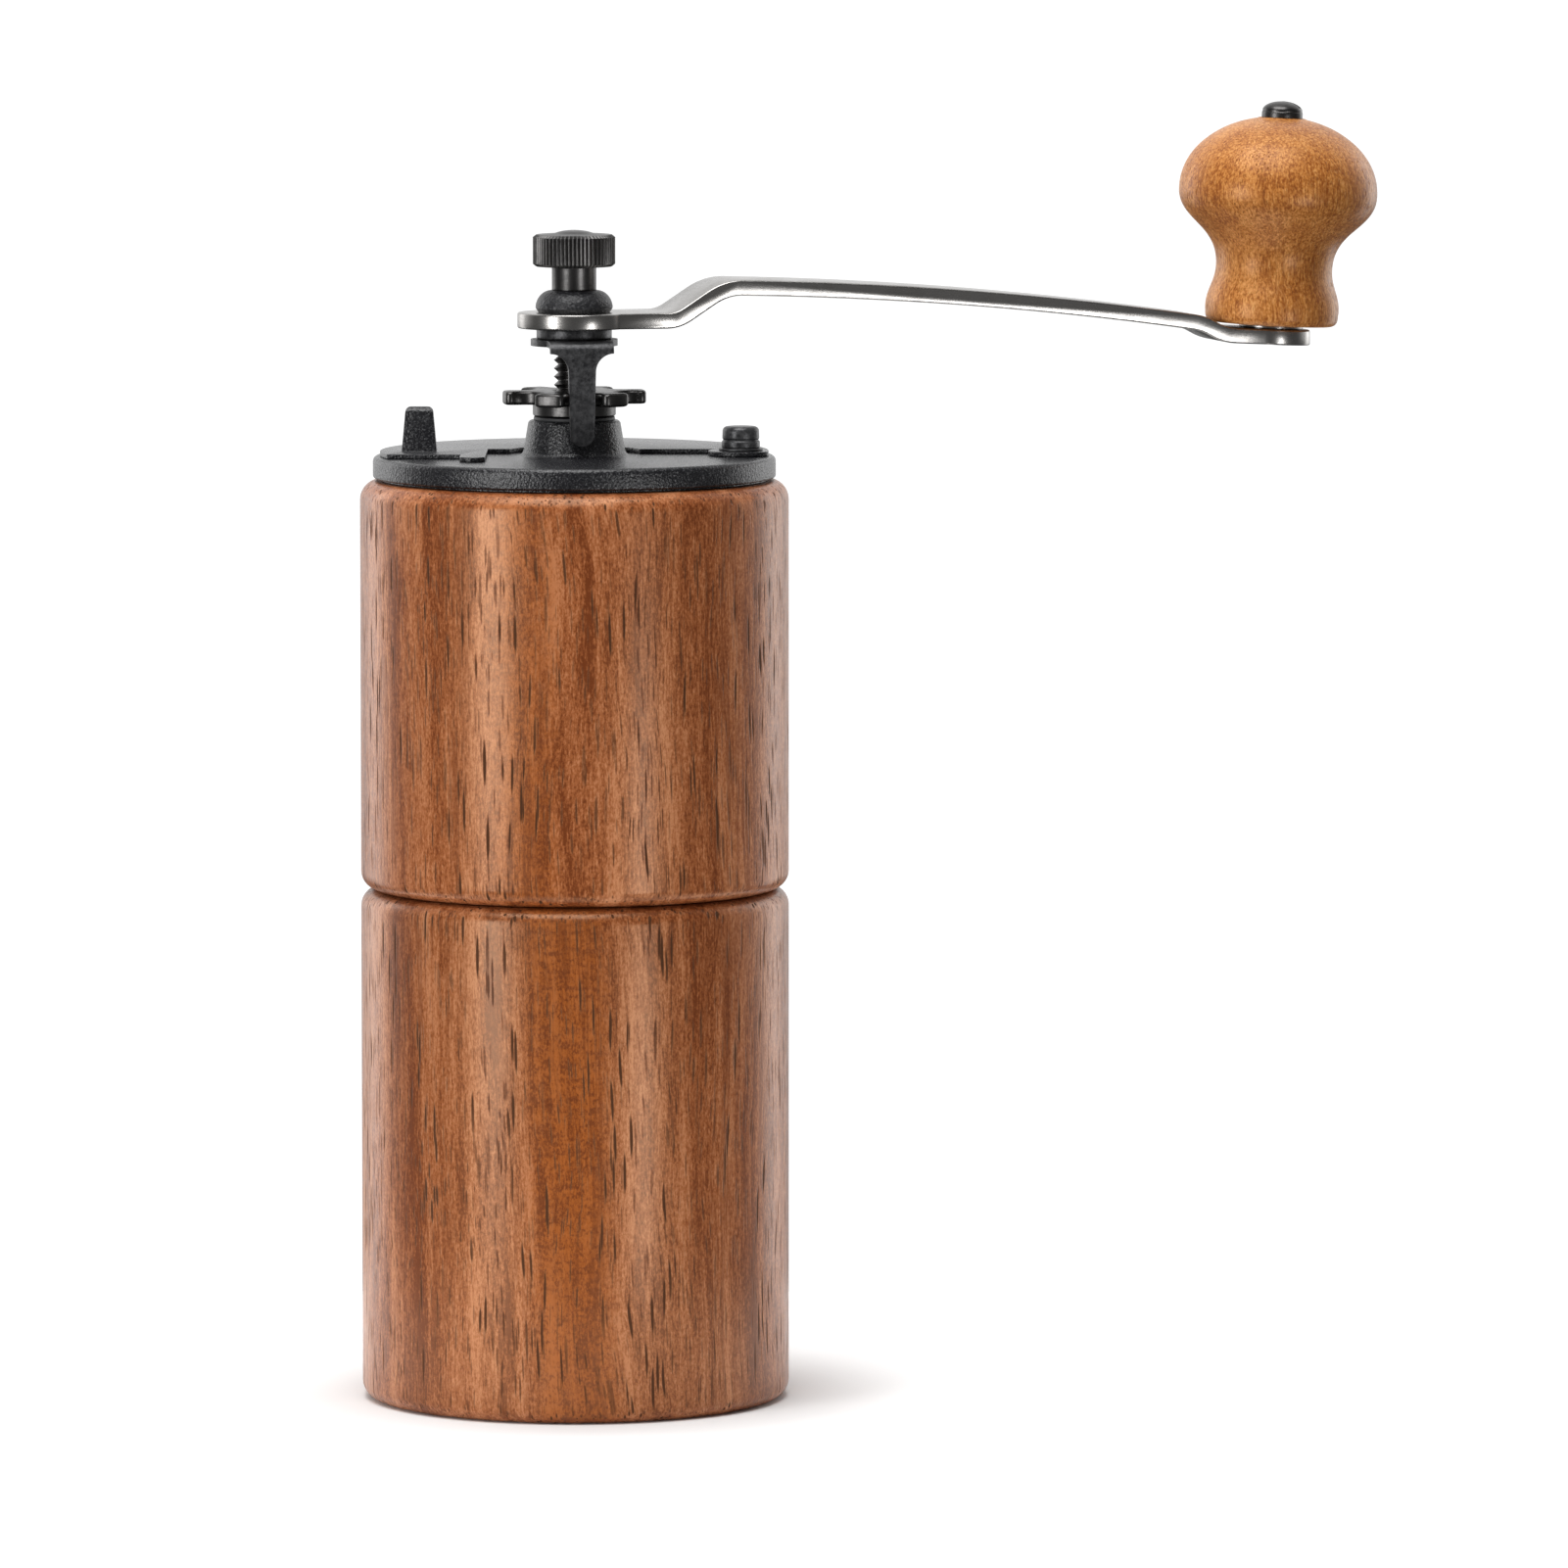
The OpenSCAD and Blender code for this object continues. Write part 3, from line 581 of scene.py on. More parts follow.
class Shading(Tree):
    """A material's tree, with the nodes that the finishes share."""

    def __init__(self, name: str) -> None:
        """Starts an empty material.

        Args:
            name: The material's name.
        """
        self.material = bpy.data.materials.new(name)
        self.material.use_nodes = True
        super().__init__(self.material.node_tree)
        self.tree.nodes.clear()
        spot = self.node("ShaderNodeTexCoord").out("Object")
        self.place = self.scaled(spot, (1 / MM, 1 / MM, 1 / MM))

    def scaled(self, vector: Value, scale: Sequence[float], shift: Sequence[float] = (0, 0, 0)) -> Value:
        """Scales and moves a place, as a Mapping node does."""
        return self.node("ShaderNodeMapping", None,
                         {"Vector": vector, "Location": shift, "Scale": scale}).out()

    def split(self, vector: Value) -> tuple[Value, Value, Value]:
        """A vector's three numbers."""
        parts = self.node("ShaderNodeSeparateXYZ", None, {0: vector})
        return parts.out(0), parts.out(1), parts.out(2)

    def joined(self, x: Any, y: Any, z: Any) -> Value:
        """A vector from three numbers."""
        return self.node("ShaderNodeCombineXYZ", None, {0: x, 1: y, 2: z}).out()

    def noise(self, vector: Value, scale: float, detail: float = 2.0, rough: float = 0.5) -> Value:
        """Soft noise from 0 to 1."""
        return self.node("ShaderNodeTexNoise", None, {"Vector": vector, "Scale": scale, "Detail": detail,
                                                      "Roughness": rough}).out("Fac")

    def cells(self, vector: Value, scale: float) -> Value:
        """Distance to the nearest of scattered points."""
        return self.node("ShaderNodeTexVoronoi", {"feature": "F1"},
                         {"Vector": vector, "Scale": scale}).out("Distance")

    def mixed(self, factor: Any, first: Any, second: Any) -> Value:
        """Mixes two colours.

        Args:
            factor: Share of the second colour.
            first: A colour, or the socket of one.
            second: The other colour.

        Returns:
            The mixed colour.
        """
        colours = [(*c, 1.0) if isinstance(c, tuple) else c for c in (first, second)]
        return self.node("ShaderNodeMix", {"data_type": "RGBA"},
                         {0: factor, 6: colours[0], 7: colours[1]}).out(2)

    def ramp(self, value: Value, stops: Sequence[tuple[float, Colour]]) -> Value:
        """A colour from a number, by stops."""
        return self.node("ShaderNodeValToRGB", {"stops": stops}, {0: value}).out(0)

    def bump(self, height: Value, depth: float, strength: float) -> Value:
        """A normal from a height.

        Args:
            height: Height from 0 to 1.
            depth: Height of 1, in millimetres.
            strength: Share of the effect.

        Returns:
            The normal.
        """
        return self.node("ShaderNodeBump", None, {"Height": height, "Distance": depth * MM,
                                                  "Strength": strength}).out()

    def closed(self, **sockets: Any) -> bpy.types.Material:
        """Ends the tree in a Principled shader.

        Args:
            sockets: Its inputs, with underscores for spaces.

        Returns:
            The finished material.
        """
        values = {key.replace("_", " "): (*value, 1.0) if isinstance(value, tuple) else value
                  for key, value in sockets.items()}
        shader = self.node("ShaderNodeBsdfPrincipled", None, values)
        self.node("ShaderNodeOutputMaterial", None, {"Surface": shader.out()})
        return self.material


class Growth(Tree):
    """A geometry tree with named inputs, which grows a plain mesh from a source mesh."""

    def __init__(self, name: str, sizes: dict[str, float]) -> None:
        """Starts a tree.

        Args:
            name: The tree's name.
            sizes: Its inputs, with their default values. A whole number makes a whole-number input.
        """
        super().__init__(bpy.data.node_groups.new(name, "GeometryNodeTree"))
        sockets = self.tree.interface
        sockets.new_socket("Geometry", in_out="INPUT", socket_type="NodeSocketGeometry")
        sockets.new_socket("Geometry", in_out="OUTPUT", socket_type="NodeSocketGeometry")
        self.keys: dict[str, str] = {}
        for label, value in sizes.items():
            kind = "NodeSocketInt" if isinstance(value, int) else "NodeSocketFloat"
            made = sockets.new_socket(label, in_out="INPUT", socket_type=kind)
            made.default_value = value
            self.keys[label] = made.identifier
        self.inputs = self.node("NodeGroupInput")

    def size(self, label: str) -> Value:
        """One of the tree's named inputs."""
        return self.inputs.out(label)

    def end(self, geometry: Value, material: bpy.types.Material) -> None:
        """Realizes the geometry, sets its material and sends it out.

        Args:
            geometry: The tree's result.
            material: The result's finish.
        """
        real = self.node("GeometryNodeRealizeInstances", None, {"Geometry": geometry}).out()
        dressed = self.node("GeometryNodeSetMaterial", None, {"Geometry": real, "Material": material}).out()
        self.node("NodeGroupOutput", None, {"Geometry": dressed})

    def grow(self, source: bpy.types.Object, sizes: dict[str, float],
             sharp: float = CRISP) -> bpy.types.Object:
        """Runs the tree on an object and keeps the result as plain mesh.

        Args:
            source: The object.
            sizes: Values for the named inputs.
            sharp: Edges that turn by more than this stay sharp.

        Returns:
            The same object, with the result as its mesh.
        """
        modifier = source.modifiers.new(self.tree.name, "NODES")
        modifier.node_group = self.tree
        for label, value in sizes.items():
            modifier[self.keys[label]] = value
        return applied(source, sharp)


# ---------------------------------------------------------------- finishes


class Grain:
    """Places in a block of wood, bent as its grain bends."""

    def __init__(self, s: Shading, shift: Sequence[float]) -> None:
        """Bends a piece's places by a slow drift and a finer sway.

        Args:
            s: The material's tree.
            shift: Where in the block the piece is turned from.
        """
        self.shading = s
        self.still = s.scaled(s.place, (1, 1, 1), shift)
        x, y, self.z = s.split(self.still)
        drift = s.noise(s.scaled(self.still, (0.05, 0.05, 0.016)), 1.0, 2.0) - 0.5
        sway = s.noise(s.scaled(self.still, (0.4, 0.4, 0.10)), 1.0, 1.0) - 0.5
        self.x = x + drift * 7.0 + sway * 0.6 + self.z * 0.02
        self.y = y + drift * 5.0 + sway * 0.4

    def noise(self, stretch: float, scale: float, detail: float, rough: float = 0.5) -> Value:
        """Soft noise from 0 to 1, drawn out along the grain.

        Args:
            stretch: How much longer it is along the grain.
            scale: Its fineness across the grain.
            detail: Number of finer layers in it.
            rough: Strength of the finer layers.

        Returns:
            The noise.
        """
        drawn = self.shading.joined(self.x, self.y, self.z / stretch)
        return self.shading.noise(drawn, scale, detail, rough)

    def dashes(self, across: float, along: float, size: float, shift: Point2) -> Value:
        """Thin dashes along the grain.

        Args:
            across: Their spacing across the grain.
            along: Their spacing along the grain.
            size: Share of its cell that a dash takes.
            shift: Moves the pattern across the grain.

        Returns:
            1 inside a dash and 0 outside.
        """
        x, y = self.x + shift[0], self.y + shift[1]
        distance = self.shading.cells(self.shading.joined(x / across, y / across, self.z / along), 1.0)
        return 1 - distance.step(size * 0.6, size)


@dataclass(frozen=True)
class TurnedWood:
    """Lacquered wood with long grain along Z and dark open pores.

    The pattern is solid, so it runs through the piece as it does in a turned block.
    """

    name: str
    light: Colour
    middle: Colour
    dark: Colour
    heart: Colour
    pore: Colour = (0.042, 0.013, 0.006)
    shift: tuple[float, float, float] = (0.0, 0.0, 0.0)
    stretch: float = 16.0           # how much longer the grain is along Z
    banding: float = 0.95           # strength of the broad bands
    speckle: float = 0.90           # strength of the finest fibre
    pore_pitch: float = 0.95        # spacing of the pores across the grain
    pore_length: float = 14.0       # spacing of the pores along the grain
    pore_size: float = 0.30         # share of its cell that a pore takes
    pore_depth: float = 0.97        # how dark the pores are
    crowding: tuple[float, float] = (0.40, 0.56)    # where pores crowd together, as a range of soft noise
    heart_at: float = 0.0           # where the darker growth layer crosses X
    heart_half: float = 8.0         # half of that layer's width
    heart_share: float = 0.65       # strength of that layer
    sheen: Colour = (1.0, 0.62, 0.34)
    rough: float = 0.27
    coat: float = 0.18
    coat_rough: float = 0.25

    def build(self) -> bpy.types.Material:
        """Makes the material.

        Returns:
            The finished material.
        """
        s = Shading(self.name)
        grain = Grain(s, self.shift)
        bands = grain.noise(self.stretch, 0.15, 2.0, 0.55)
        streaks = grain.noise(self.stretch, 0.62, 3.0, 0.6)
        fibre = grain.noise(9.0, 3.4, 3.0, 0.7)
        fleck = s.noise(s.scaled(grain.still, (1.0, 1.0, 0.55)), 3.0, 2.0, 0.7)
        tone = (bands + streaks * 0.8 - 0.9) * self.banding + (fibre + fleck - 1.0) * self.speckle + 0.5
        colour = s.ramp(tone, [(0.26, self.dark), (0.50, self.middle), (0.76, self.light)])
        side = (grain.x - self.heart_at - self.shift[0]) / self.heart_half
        aside = side * side
        colour = self._with_heart(s, grain, colour, aside, (fleck - 0.5) * 1.8 + (streaks - 0.5) * 1.2)
        veins = (grain.noise(60.0, 0.9, 1.0) - 0.5) * (streaks + 0.5) * 11.0
        zone = grain.noise(40.0, 0.11, 1.0).step(0.47, 0.6)
        colour = s.mixed((1 - veins.size().step(0.0, 1.0)) * zone * 0.5, colour, self.dark)
        openings = self._openings(grain, aside)
        colour = s.mixed(openings * self.pore_depth, colour, self.pore)
        lustre = s.noise(s.scaled(grain.still, (0.12, 0.12, 0.5)), 1.0, 2.0)
        relief = 1 - openings + fibre * 0.16 + fleck * 0.10
        return s.closed(Base_Color=colour, Roughness=self.rough + lustre * 0.12 + openings * 0.45,
                        Specular_Tint=self.sheen, Coat_Weight=self.coat - openings * self.coat,
                        Coat_Roughness=self.coat_rough, Coat_IOR=1.5, IOR=1.6,
                        Normal=s.bump(relief, 0.07, 0.6))

    def _with_heart(self, s: Shading, grain: Grain, colour: Value, aside: Value, mottle: Value) -> Value:
        """Lays the darker growth layer over the wood's colour.

        Args:
            s: The material's tree.
            grain: The wood's bent places.
            colour: The colour so far.
            aside: Square of the distance from the layer's middle, 1 at its edge.
            mottle: The wood's finer figure, which the layer keeps.

        Returns:
            The colour with the layer in it.
        """
        ripple = s.noise(s.scaled(grain.still, (0.30, 0.30, 0.75)), 1.0, 3.0, 0.7)
        curl = (ripple - 0.5) * 1.4 + mottle + 0.54
        heart = s.mixed(curl.step(0.15, 0.85), self.dark, self.heart)
        layer = 1 - aside.step(0.2, 1.5)
        return s.mixed(layer * self.heart_share, colour, heart)

    def _openings(self, grain: Grain, aside: Value) -> Value:
        """Open pores: long ones that crowd together, and short ones between them.

        Args:
            grain: The wood's bent places.
            aside: Square of the distance from the growth layer's middle, where pores crowd too.

        Returns:
            1 inside a pore and 0 outside.
        """
        by_layer = (1 - (aside - 1.2).size().step(0.0, 0.8)) * self.heart_share
        crowd = grain.noise(10.0, 0.17, 1.0).step(*self.crowding).at_least(by_layer)
        long, short = (grain.dashes(self.pore_pitch * share, self.pore_length * share, self.pore_size, shift)
                       for share, shift in ((1.0, (0.0, 0.0)), (0.6, (31.0, 7.0))))
        return (long * (crowd * 0.85 + 0.15)).at_least(short * (0.75 - crowd * 0.3))


@dataclass(frozen=True)
class GrainedCoat:
    """Black coating over a casting, with a fine orange-peel grain."""

    name: str
    colour: Colour = (0.010, 0.010, 0.012)
    # Painted glints: the grain's tops take this lighter tone in place of the sparkle of light on them, and
    # broad random patches take it too.
    glint_and_patch_tone: Colour = (0.105, 0.106, 0.111)            # tone of the grain's tops
    grain: float = 0.36             # size of the grain
    depth: float = 0.14             # height of the grain
    rough: float = 0.16

    def build(self) -> bpy.types.Material:
        """Makes the material.

        Returns:
            The finished material.
        """
        s = Shading(self.name)
        peel = s.noise(s.place, 1 / self.grain, 3.0, 0.6)
        lumps = s.cells(s.place, 0.9 / self.grain)
        broad = s.noise(s.place, 0.16, 2.0)
        # Painted glints on the peel's tops, plus broad patches of random tone.
        painted_glints_and_patches = peel.step(0.50, 0.74) * 0.75 + broad.step(0.5, 0.8) * 0.15
        colour = s.mixed(painted_glints_and_patches, self.colour, self.glint_and_patch_tone)
        height = peel * 0.7 + lumps * 0.5
        return s.closed(Base_Color=colour, Roughness=self.rough + peel * 0.18, IOR=1.5,
                        Normal=s.bump(height, self.depth, 0.8))


@dataclass(frozen=True)
class WorkedSteel:
    """Bare, plated or blackened steel with turning or brushing marks."""

    name: str
    colour: Colour
    shade: Colour
    metallic: float = 1.0
    rough: float = 0.25
    marks: tuple[float, float, float] = (0.6, 0.6, 9.0)     # fineness of the marks along X, Y and Z
    marks_depth: float = 0.010      # height of the marks
    cloud: float = 0.22             # fineness of the tarnish
    fleck: float = 0.3              # how much the marks take the shade's colour

    def build(self) -> bpy.types.Material:
        """Makes the material.

        Returns:
            The finished material.
        """
        s = Shading(self.name)
        lines = s.noise(s.scaled(s.place, self.marks), 1.0, 3.0, 0.65)
        cloud = s.noise(s.place, self.cloud, 4.0, 0.6)
        spots = 1 - s.cells(s.place, 1.6).step(0.03, 0.11)
        blend = cloud.step(0.35, 0.75) * 0.6 + lines.step(0.3, 0.7) * self.fleck + spots * 0.35
        colour = s.mixed(blend, self.colour, self.shade)
        return s.closed(Base_Color=colour, Metallic=self.metallic,
                        Roughness=self.rough + lines * 0.10 + cloud * 0.08,
                        Normal=s.bump(lines - spots * 0.6, self.marks_depth, 0.6))


@dataclass(frozen=True)
class Moulded:
    """Moulded plastic or rubber, or fired ceramic, with a fine surface texture."""

    name: str
    colour: Colour
    shade: Colour
    rough: float = 0.5
    grain: float = 0.35             # size of the texture
    depth: float = 0.02             # height of the texture

    def build(self) -> bpy.types.Material:
        """Makes the material.

        Returns:
            The finished material.
        """
        s = Shading(self.name)
        fine = s.noise(s.place, 1 / self.grain, 2.0)
        broad = s.noise(s.place, 0.2, 3.0)
        colour = s.mixed(broad.step(0.3, 0.8) * 0.8 + fine * 0.2, self.colour, self.shade)
        return s.closed(Base_Color=colour, Roughness=self.rough + fine * 0.15 + broad * 0.08,
                        Normal=s.bump(fine, self.depth, 0.6))


@dataclass(frozen=True)
class Finish:
    """A material, and the record's slot that it fills."""

    material: bpy.types.Material
    slot: Slot


class Finishes:
    """Every finish on the mill, made once."""

    def __init__(self) -> None:
        """Makes the materials."""
        self.hopper_wood, self.cup_wood, self.knob_wood = self._woods()
        cast = GrainedCoat("grained black coating")
        dome = GrainedCoat("cast black washer", grain=0.4, depth=0.18, rough=0.3)
        self.cast_black, self.dome_black = (Finish(coat.build(), Slot.CAST_BLACK) for coat in (cast, dome))
        black = WorkedSteel("blackened steel", (0.016, 0.016, 0.018), (0.080, 0.080, 0.083), metallic=0.55,
                            rough=0.28, marks=(1.5, 1.5, 1.5), marks_depth=0.08, fleck=0.8)
        self.black_steel = Finish(black.build(), Slot.BLACK_STEEL)
        plated = WorkedSteel("polished nickel plate", (0.430, 0.418, 0.405), (0.290, 0.278, 0.266),
                             rough=0.17, marks=(0.5, 0.5, 5.0), marks_depth=0.006)
        self.plated_steel = Finish(plated.build(), Slot.PLATED_STEEL)
        dark = WorkedSteel("dark plated steel", (0.105, 0.102, 0.100), (0.040, 0.039, 0.039), rough=0.24,
                           marks=(1.5, 1.5, 4.0), marks_depth=0.02)
        self.dark_plate = Finish(dark.build(), Slot.DARK_PLATE)
        bright = WorkedSteel("machined steel", (0.560, 0.560, 0.565), (0.400, 0.395, 0.390), rough=0.24)
        self.bright_steel = Finish(bright.build(), Slot.BRIGHT_STEEL)
        # Dark nylon; its dark tone is partly painted shade, for the shaded gap between the wheel and the
        # lid's boss.
        nylon = Moulded("bush nylon", (0.032, 0.032, 0.034), (0.060, 0.060, 0.063), rough=0.42)
        self.nylon = Finish(nylon.build(), Slot.BUSH_NYLON)
        plastic = Moulded("carrier plastic", (0.030, 0.030, 0.033), (0.050, 0.050, 0.054), rough=0.46)
        self.plastic = Finish(plastic.build(), Slot.CARRIER_PLASTIC)
        ceramic = Moulded("fired ceramic", (0.780, 0.755, 0.690), (0.690, 0.650, 0.570), rough=0.55,
                          grain=0.2)
        self.ceramic = Finish(ceramic.build(), Slot.BURR_CERAMIC)
        rubber = Moulded("ring rubber", (0.016, 0.016, 0.017), (0.030, 0.030, 0.031), rough=0.62)
        self.rubber = Finish(rubber.build(), Slot.RING_RUBBER)

    @staticmethod
    def _woods() -> tuple[Finish, Finish, Finish]:
        """Makes the three woods: the cup's is the hopper's, a little deeper.

        Returns:
            The hopper's, the cup's and the knob's.
        """
        tones = {"light": (0.560, 0.225, 0.100), "middle": (0.365, 0.112, 0.036),
                 "dark": (0.165, 0.037, 0.009), "heart": (0.410, 0.108, 0.017)}
        deepening = 0.86
        deeper = {tone: tuple(deepening * part for part in colour) for tone, colour in tones.items()}
        hopper = TurnedWood("hopper wood", **tones, shift=(3.0, 40.0, 200.0), heart_at=-1.5, heart_half=5.0,
                            heart_share=0.5)
        cup = TurnedWood("cup wood", **deeper, heart_at=0.5, heart_half=7.0, heart_share=0.8)
        knob = TurnedWood("knob wood", light=(0.760, 0.360, 0.115), middle=(0.540, 0.200, 0.042),
                          dark=(0.260, 0.066, 0.010), heart=(0.500, 0.165, 0.026), pore=(0.150, 0.045, 0.012),
                          shift=(-108.0, -29.0, 0.0), stretch=6.0, banding=0.45, speckle=1.0, pore_pitch=0.5,
                          pore_length=2.6, pore_size=0.26, pore_depth=0.55, heart_half=5.0, heart_share=0.3,
                          rough=0.34, coat=0.15, coat_rough=0.30)
        return (Finish(hopper.build(), Slot.BARREL_WOOD), Finish(cup.build(), Slot.BARREL_WOOD),
                Finish(knob.build(), Slot.KNOB_WOOD))


def settled(made: bpy.types.Object, finish: Finish, body: Body, node: str) -> None:
    """Dresses a piece and hands it to the frame.

    Args:
        made: The piece, at the origin.
        finish: Its finish, which names its slot too.
        body: The body it rides on.
        node: The node it stands for.
    """
    made.data.materials.clear()
    made.data.materials.append(finish.material)
    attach(made, body.value)
    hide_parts(node)
    LOG.info("%s rides on %s, %d faces", made.name, body.value, len(made.data.polygons))


# ---------------------------------------------------------------- wooden barrels


@dataclass
class Barrels:
    """The two turned barrels: the catch cup below and the hopper above."""

    finishes: Finishes
    edge: float = 2.6               # round-over of the lower edges and the cup's rim
    shoulder: float = 3.0           # round-over of the hopper's top
    eased: float = 0.2              # rounding of the inner corners
    lip: float = 0.5                # rounding of a mouth's edge
    cup_wall: float = 8.0
    cup_floor: float = 6.0
    cup_hollow: float = 3.0         # rounding of the cup's floor
    cup_mouth_depth: float = 9.0
    mouth_play: float = 0.03        # gap between the sealing ring and the cup's mouth
    hopper_wall: float = 8.0
    ledge_rise: float = 4.05        # height of the hopper's ledge above the ring burr
    ledge_half: float = 20.6        # radius of the hole in the hopper's ledge
    ledge_h: float = 5.0
    funnel_h: float = 5.9
    funnel_curve: float = 4.0       # rounding at the funnel's top
    fit: float = 0.1                # play round the burr carrier

    def build(self) -> None:
        """Turns both barrels."""
        self.cup()
        self.hopper()

    def cup(self) -> None:
        """Turns the catch cup, with a step in its mouth for the carrier's spigot."""
        span, ring = Span.of("catch_cup"), Span.of("spigot_ring")
        r, bore, mouth = span.radius, span.radius - self.cup_wall, ring.radius + self.mouth_play
        step = span.top - self.cup_mouth_depth
        corners = [(0, 0, 0), (r, 0, self.edge), (r, span.top, self.edge), (mouth, span.top, 0.6),
                   (mouth, step, self.eased), (bore, step, self.lip),
                   (bore, self.cup_floor, self.cup_hollow), (0, self.cup_floor, 0)]
        made = turned("cup_barrel", rounded(corners, steps=8), BARREL_ROUND)
        settled(made, self.finishes.cup_wood, Body.CUP, "catch_cup")

    def hopper(self) -> None:
        """Turns the hopper, with the carrier's socket below its ledge and a funnel above it."""
        span, carrier = Span.of("hopper_body"), Span.of("burr_carrier")
        r, bore, socket = span.radius, span.radius - self.hopper_wall, carrier.radius + self.fit
        ledge = Span.of("outer_burr").top + self.ledge_rise
        funnel = ledge + self.ledge_h
        corners = [(socket, span.foot, self.lip), (r, span.foot, self.edge), (r, span.top, self.shoulder),
                   (bore, span.top, 0.3), (bore, funnel + self.funnel_h, self.funnel_curve),
                   (self.ledge_half, funnel, 1.2), (self.ledge_half, ledge, self.eased),
                   (socket, ledge, self.eased)]
        made = turned("hopper_barrel", rounded(corners, closed=True, steps=8), BARREL_ROUND, closed=True)
        settled(made, self.finishes.hopper_wood, Body.MILL, "hopper_body")


# ---------------------------------------------------------------- lid, bean door and its rivet


@dataclass
class Lid:
    """The cast lid with its boss and bush, and the bean door on its rivet."""

    finishes: Finishes
    thickness: float = 3.3
    gap: float = 0.05               # between the hopper's top and the lid
    step: float = 0.4               # height of the shadow step under the rim
    inset: float = 1.0              # how far the shadow step stands back
    spigot_inset: float = 8.05      # from the hopper's outside to the spigot's
    spigot_wall: float = 2.2
    boss_foot: float = 7.95         # radius of the boss at the lid
    boss_head: float = 7.05         # radius of the boss at its top
    bush_bore: float = 4.25
    opening_inner: float = 12.0     # radius of the bean opening's inner wall
    opening_inset: float = 0.6      # from the spigot's inside to the opening's outer wall
    opening_start: float = 20.0     # bearings of its ends
    opening_end: float = 160.0
    washer_bore: float = 2.05
    rivet_shank: float = 2.0
    rivet_neck: float = 2.5
    rivet_collar_h: float = 1.1
    rivet_groove: tuple[float, float] = (0.15, 0.35)    # foot and top of its neck, above the collar

    def build(self) -> None:
        """Makes the lid's pieces."""
        self.casting()
        f = self.finishes
        settled(refined("spindle_bush", "top_bush", 0.1), f.nylon, Body.MILL, "top_bush")
        settled(refined("door_plate", "bean_door", 0.33, 3), f.cast_black, Body.DOOR, "bean_door")
        washer = annulus("pivot_washer", "door_washer", self.washer_bore, 0.08)
        settled(washer, f.black_steel, Body.MILL, "door_washer")
        self.rivet()

    def casting(self) -> None:
        """Turns the lid with its boss and spigot, and cuts the bean opening."""
        span, wood = Span.of("lid_plate"), Span.of("hopper_body")
        spigot = wood.radius - self.spigot_inset
        hollow = spigot - self.spigot_wall
        shadow = span.radius - self.inset
        under, rim = wood.top + self.gap, wood.top + self.step
        top = rim + self.thickness
        corners = [(self.bush_bore, under, 0.2), (hollow, under, 0.4), (hollow, span.foot, 0.3),
                   (spigot, span.foot, 0.3), (spigot, under, 0.0), (shadow, under, 0.1), (shadow, rim, 0.15),
                   (span.radius, rim, 0.35), (span.radius, top, 0.8), (self.boss_foot, top, 1.1),
                   (self.boss_head, span.top, 0.65), (self.bush_bore, span.top, 0.2)]
        made = turned("lid_casting", rounded(corners, closed=True, steps=6), LID_ROUND, closed=True)
        outline = arc((0, 0), hollow - self.opening_inset, self.opening_start, self.opening_end, 48)
        outline += arc((0, 0), self.opening_inner, self.opening_end, self.opening_start, 48)
        cut(made, prism("bean_opening", outline, under - CUT_MARGIN, top + CUT_MARGIN))
        settled(made, self.finishes.cast_black, Body.MILL, "lid_plate")

    def rivet(self) -> None:
        """Turns the door's rivet: shank, collar and rounded head."""
        span = Span.of("door_rivet")
        r, shank, neck = span.radius, self.rivet_shank, self.rivet_neck
        seat = Span.of("door_washer").top
        collar = seat + self.rivet_collar_h
        neck_foot, neck_top = (collar + rise for rise in self.rivet_groove)
        corners = [(0, span.foot, 0), (shank, span.foot, 0.1), (shank, seat, 0), (r, seat, 0.25),
                   (r, collar, 0.3), (neck, neck_foot, 0.15), (r - 0.1, neck_top, 0.3),
                   (r - 0.15, span.top, 0.75), (0, span.top, 0)]
        made = turned("door_pivot_rivet", rounded(corners, steps=5), SMALL_ROUND, centre=span.centre)
        settled(made, self.finishes.black_steel, Body.MILL, "door_rivet")


# ---------------------------------------------------------------- burrs and what carries them


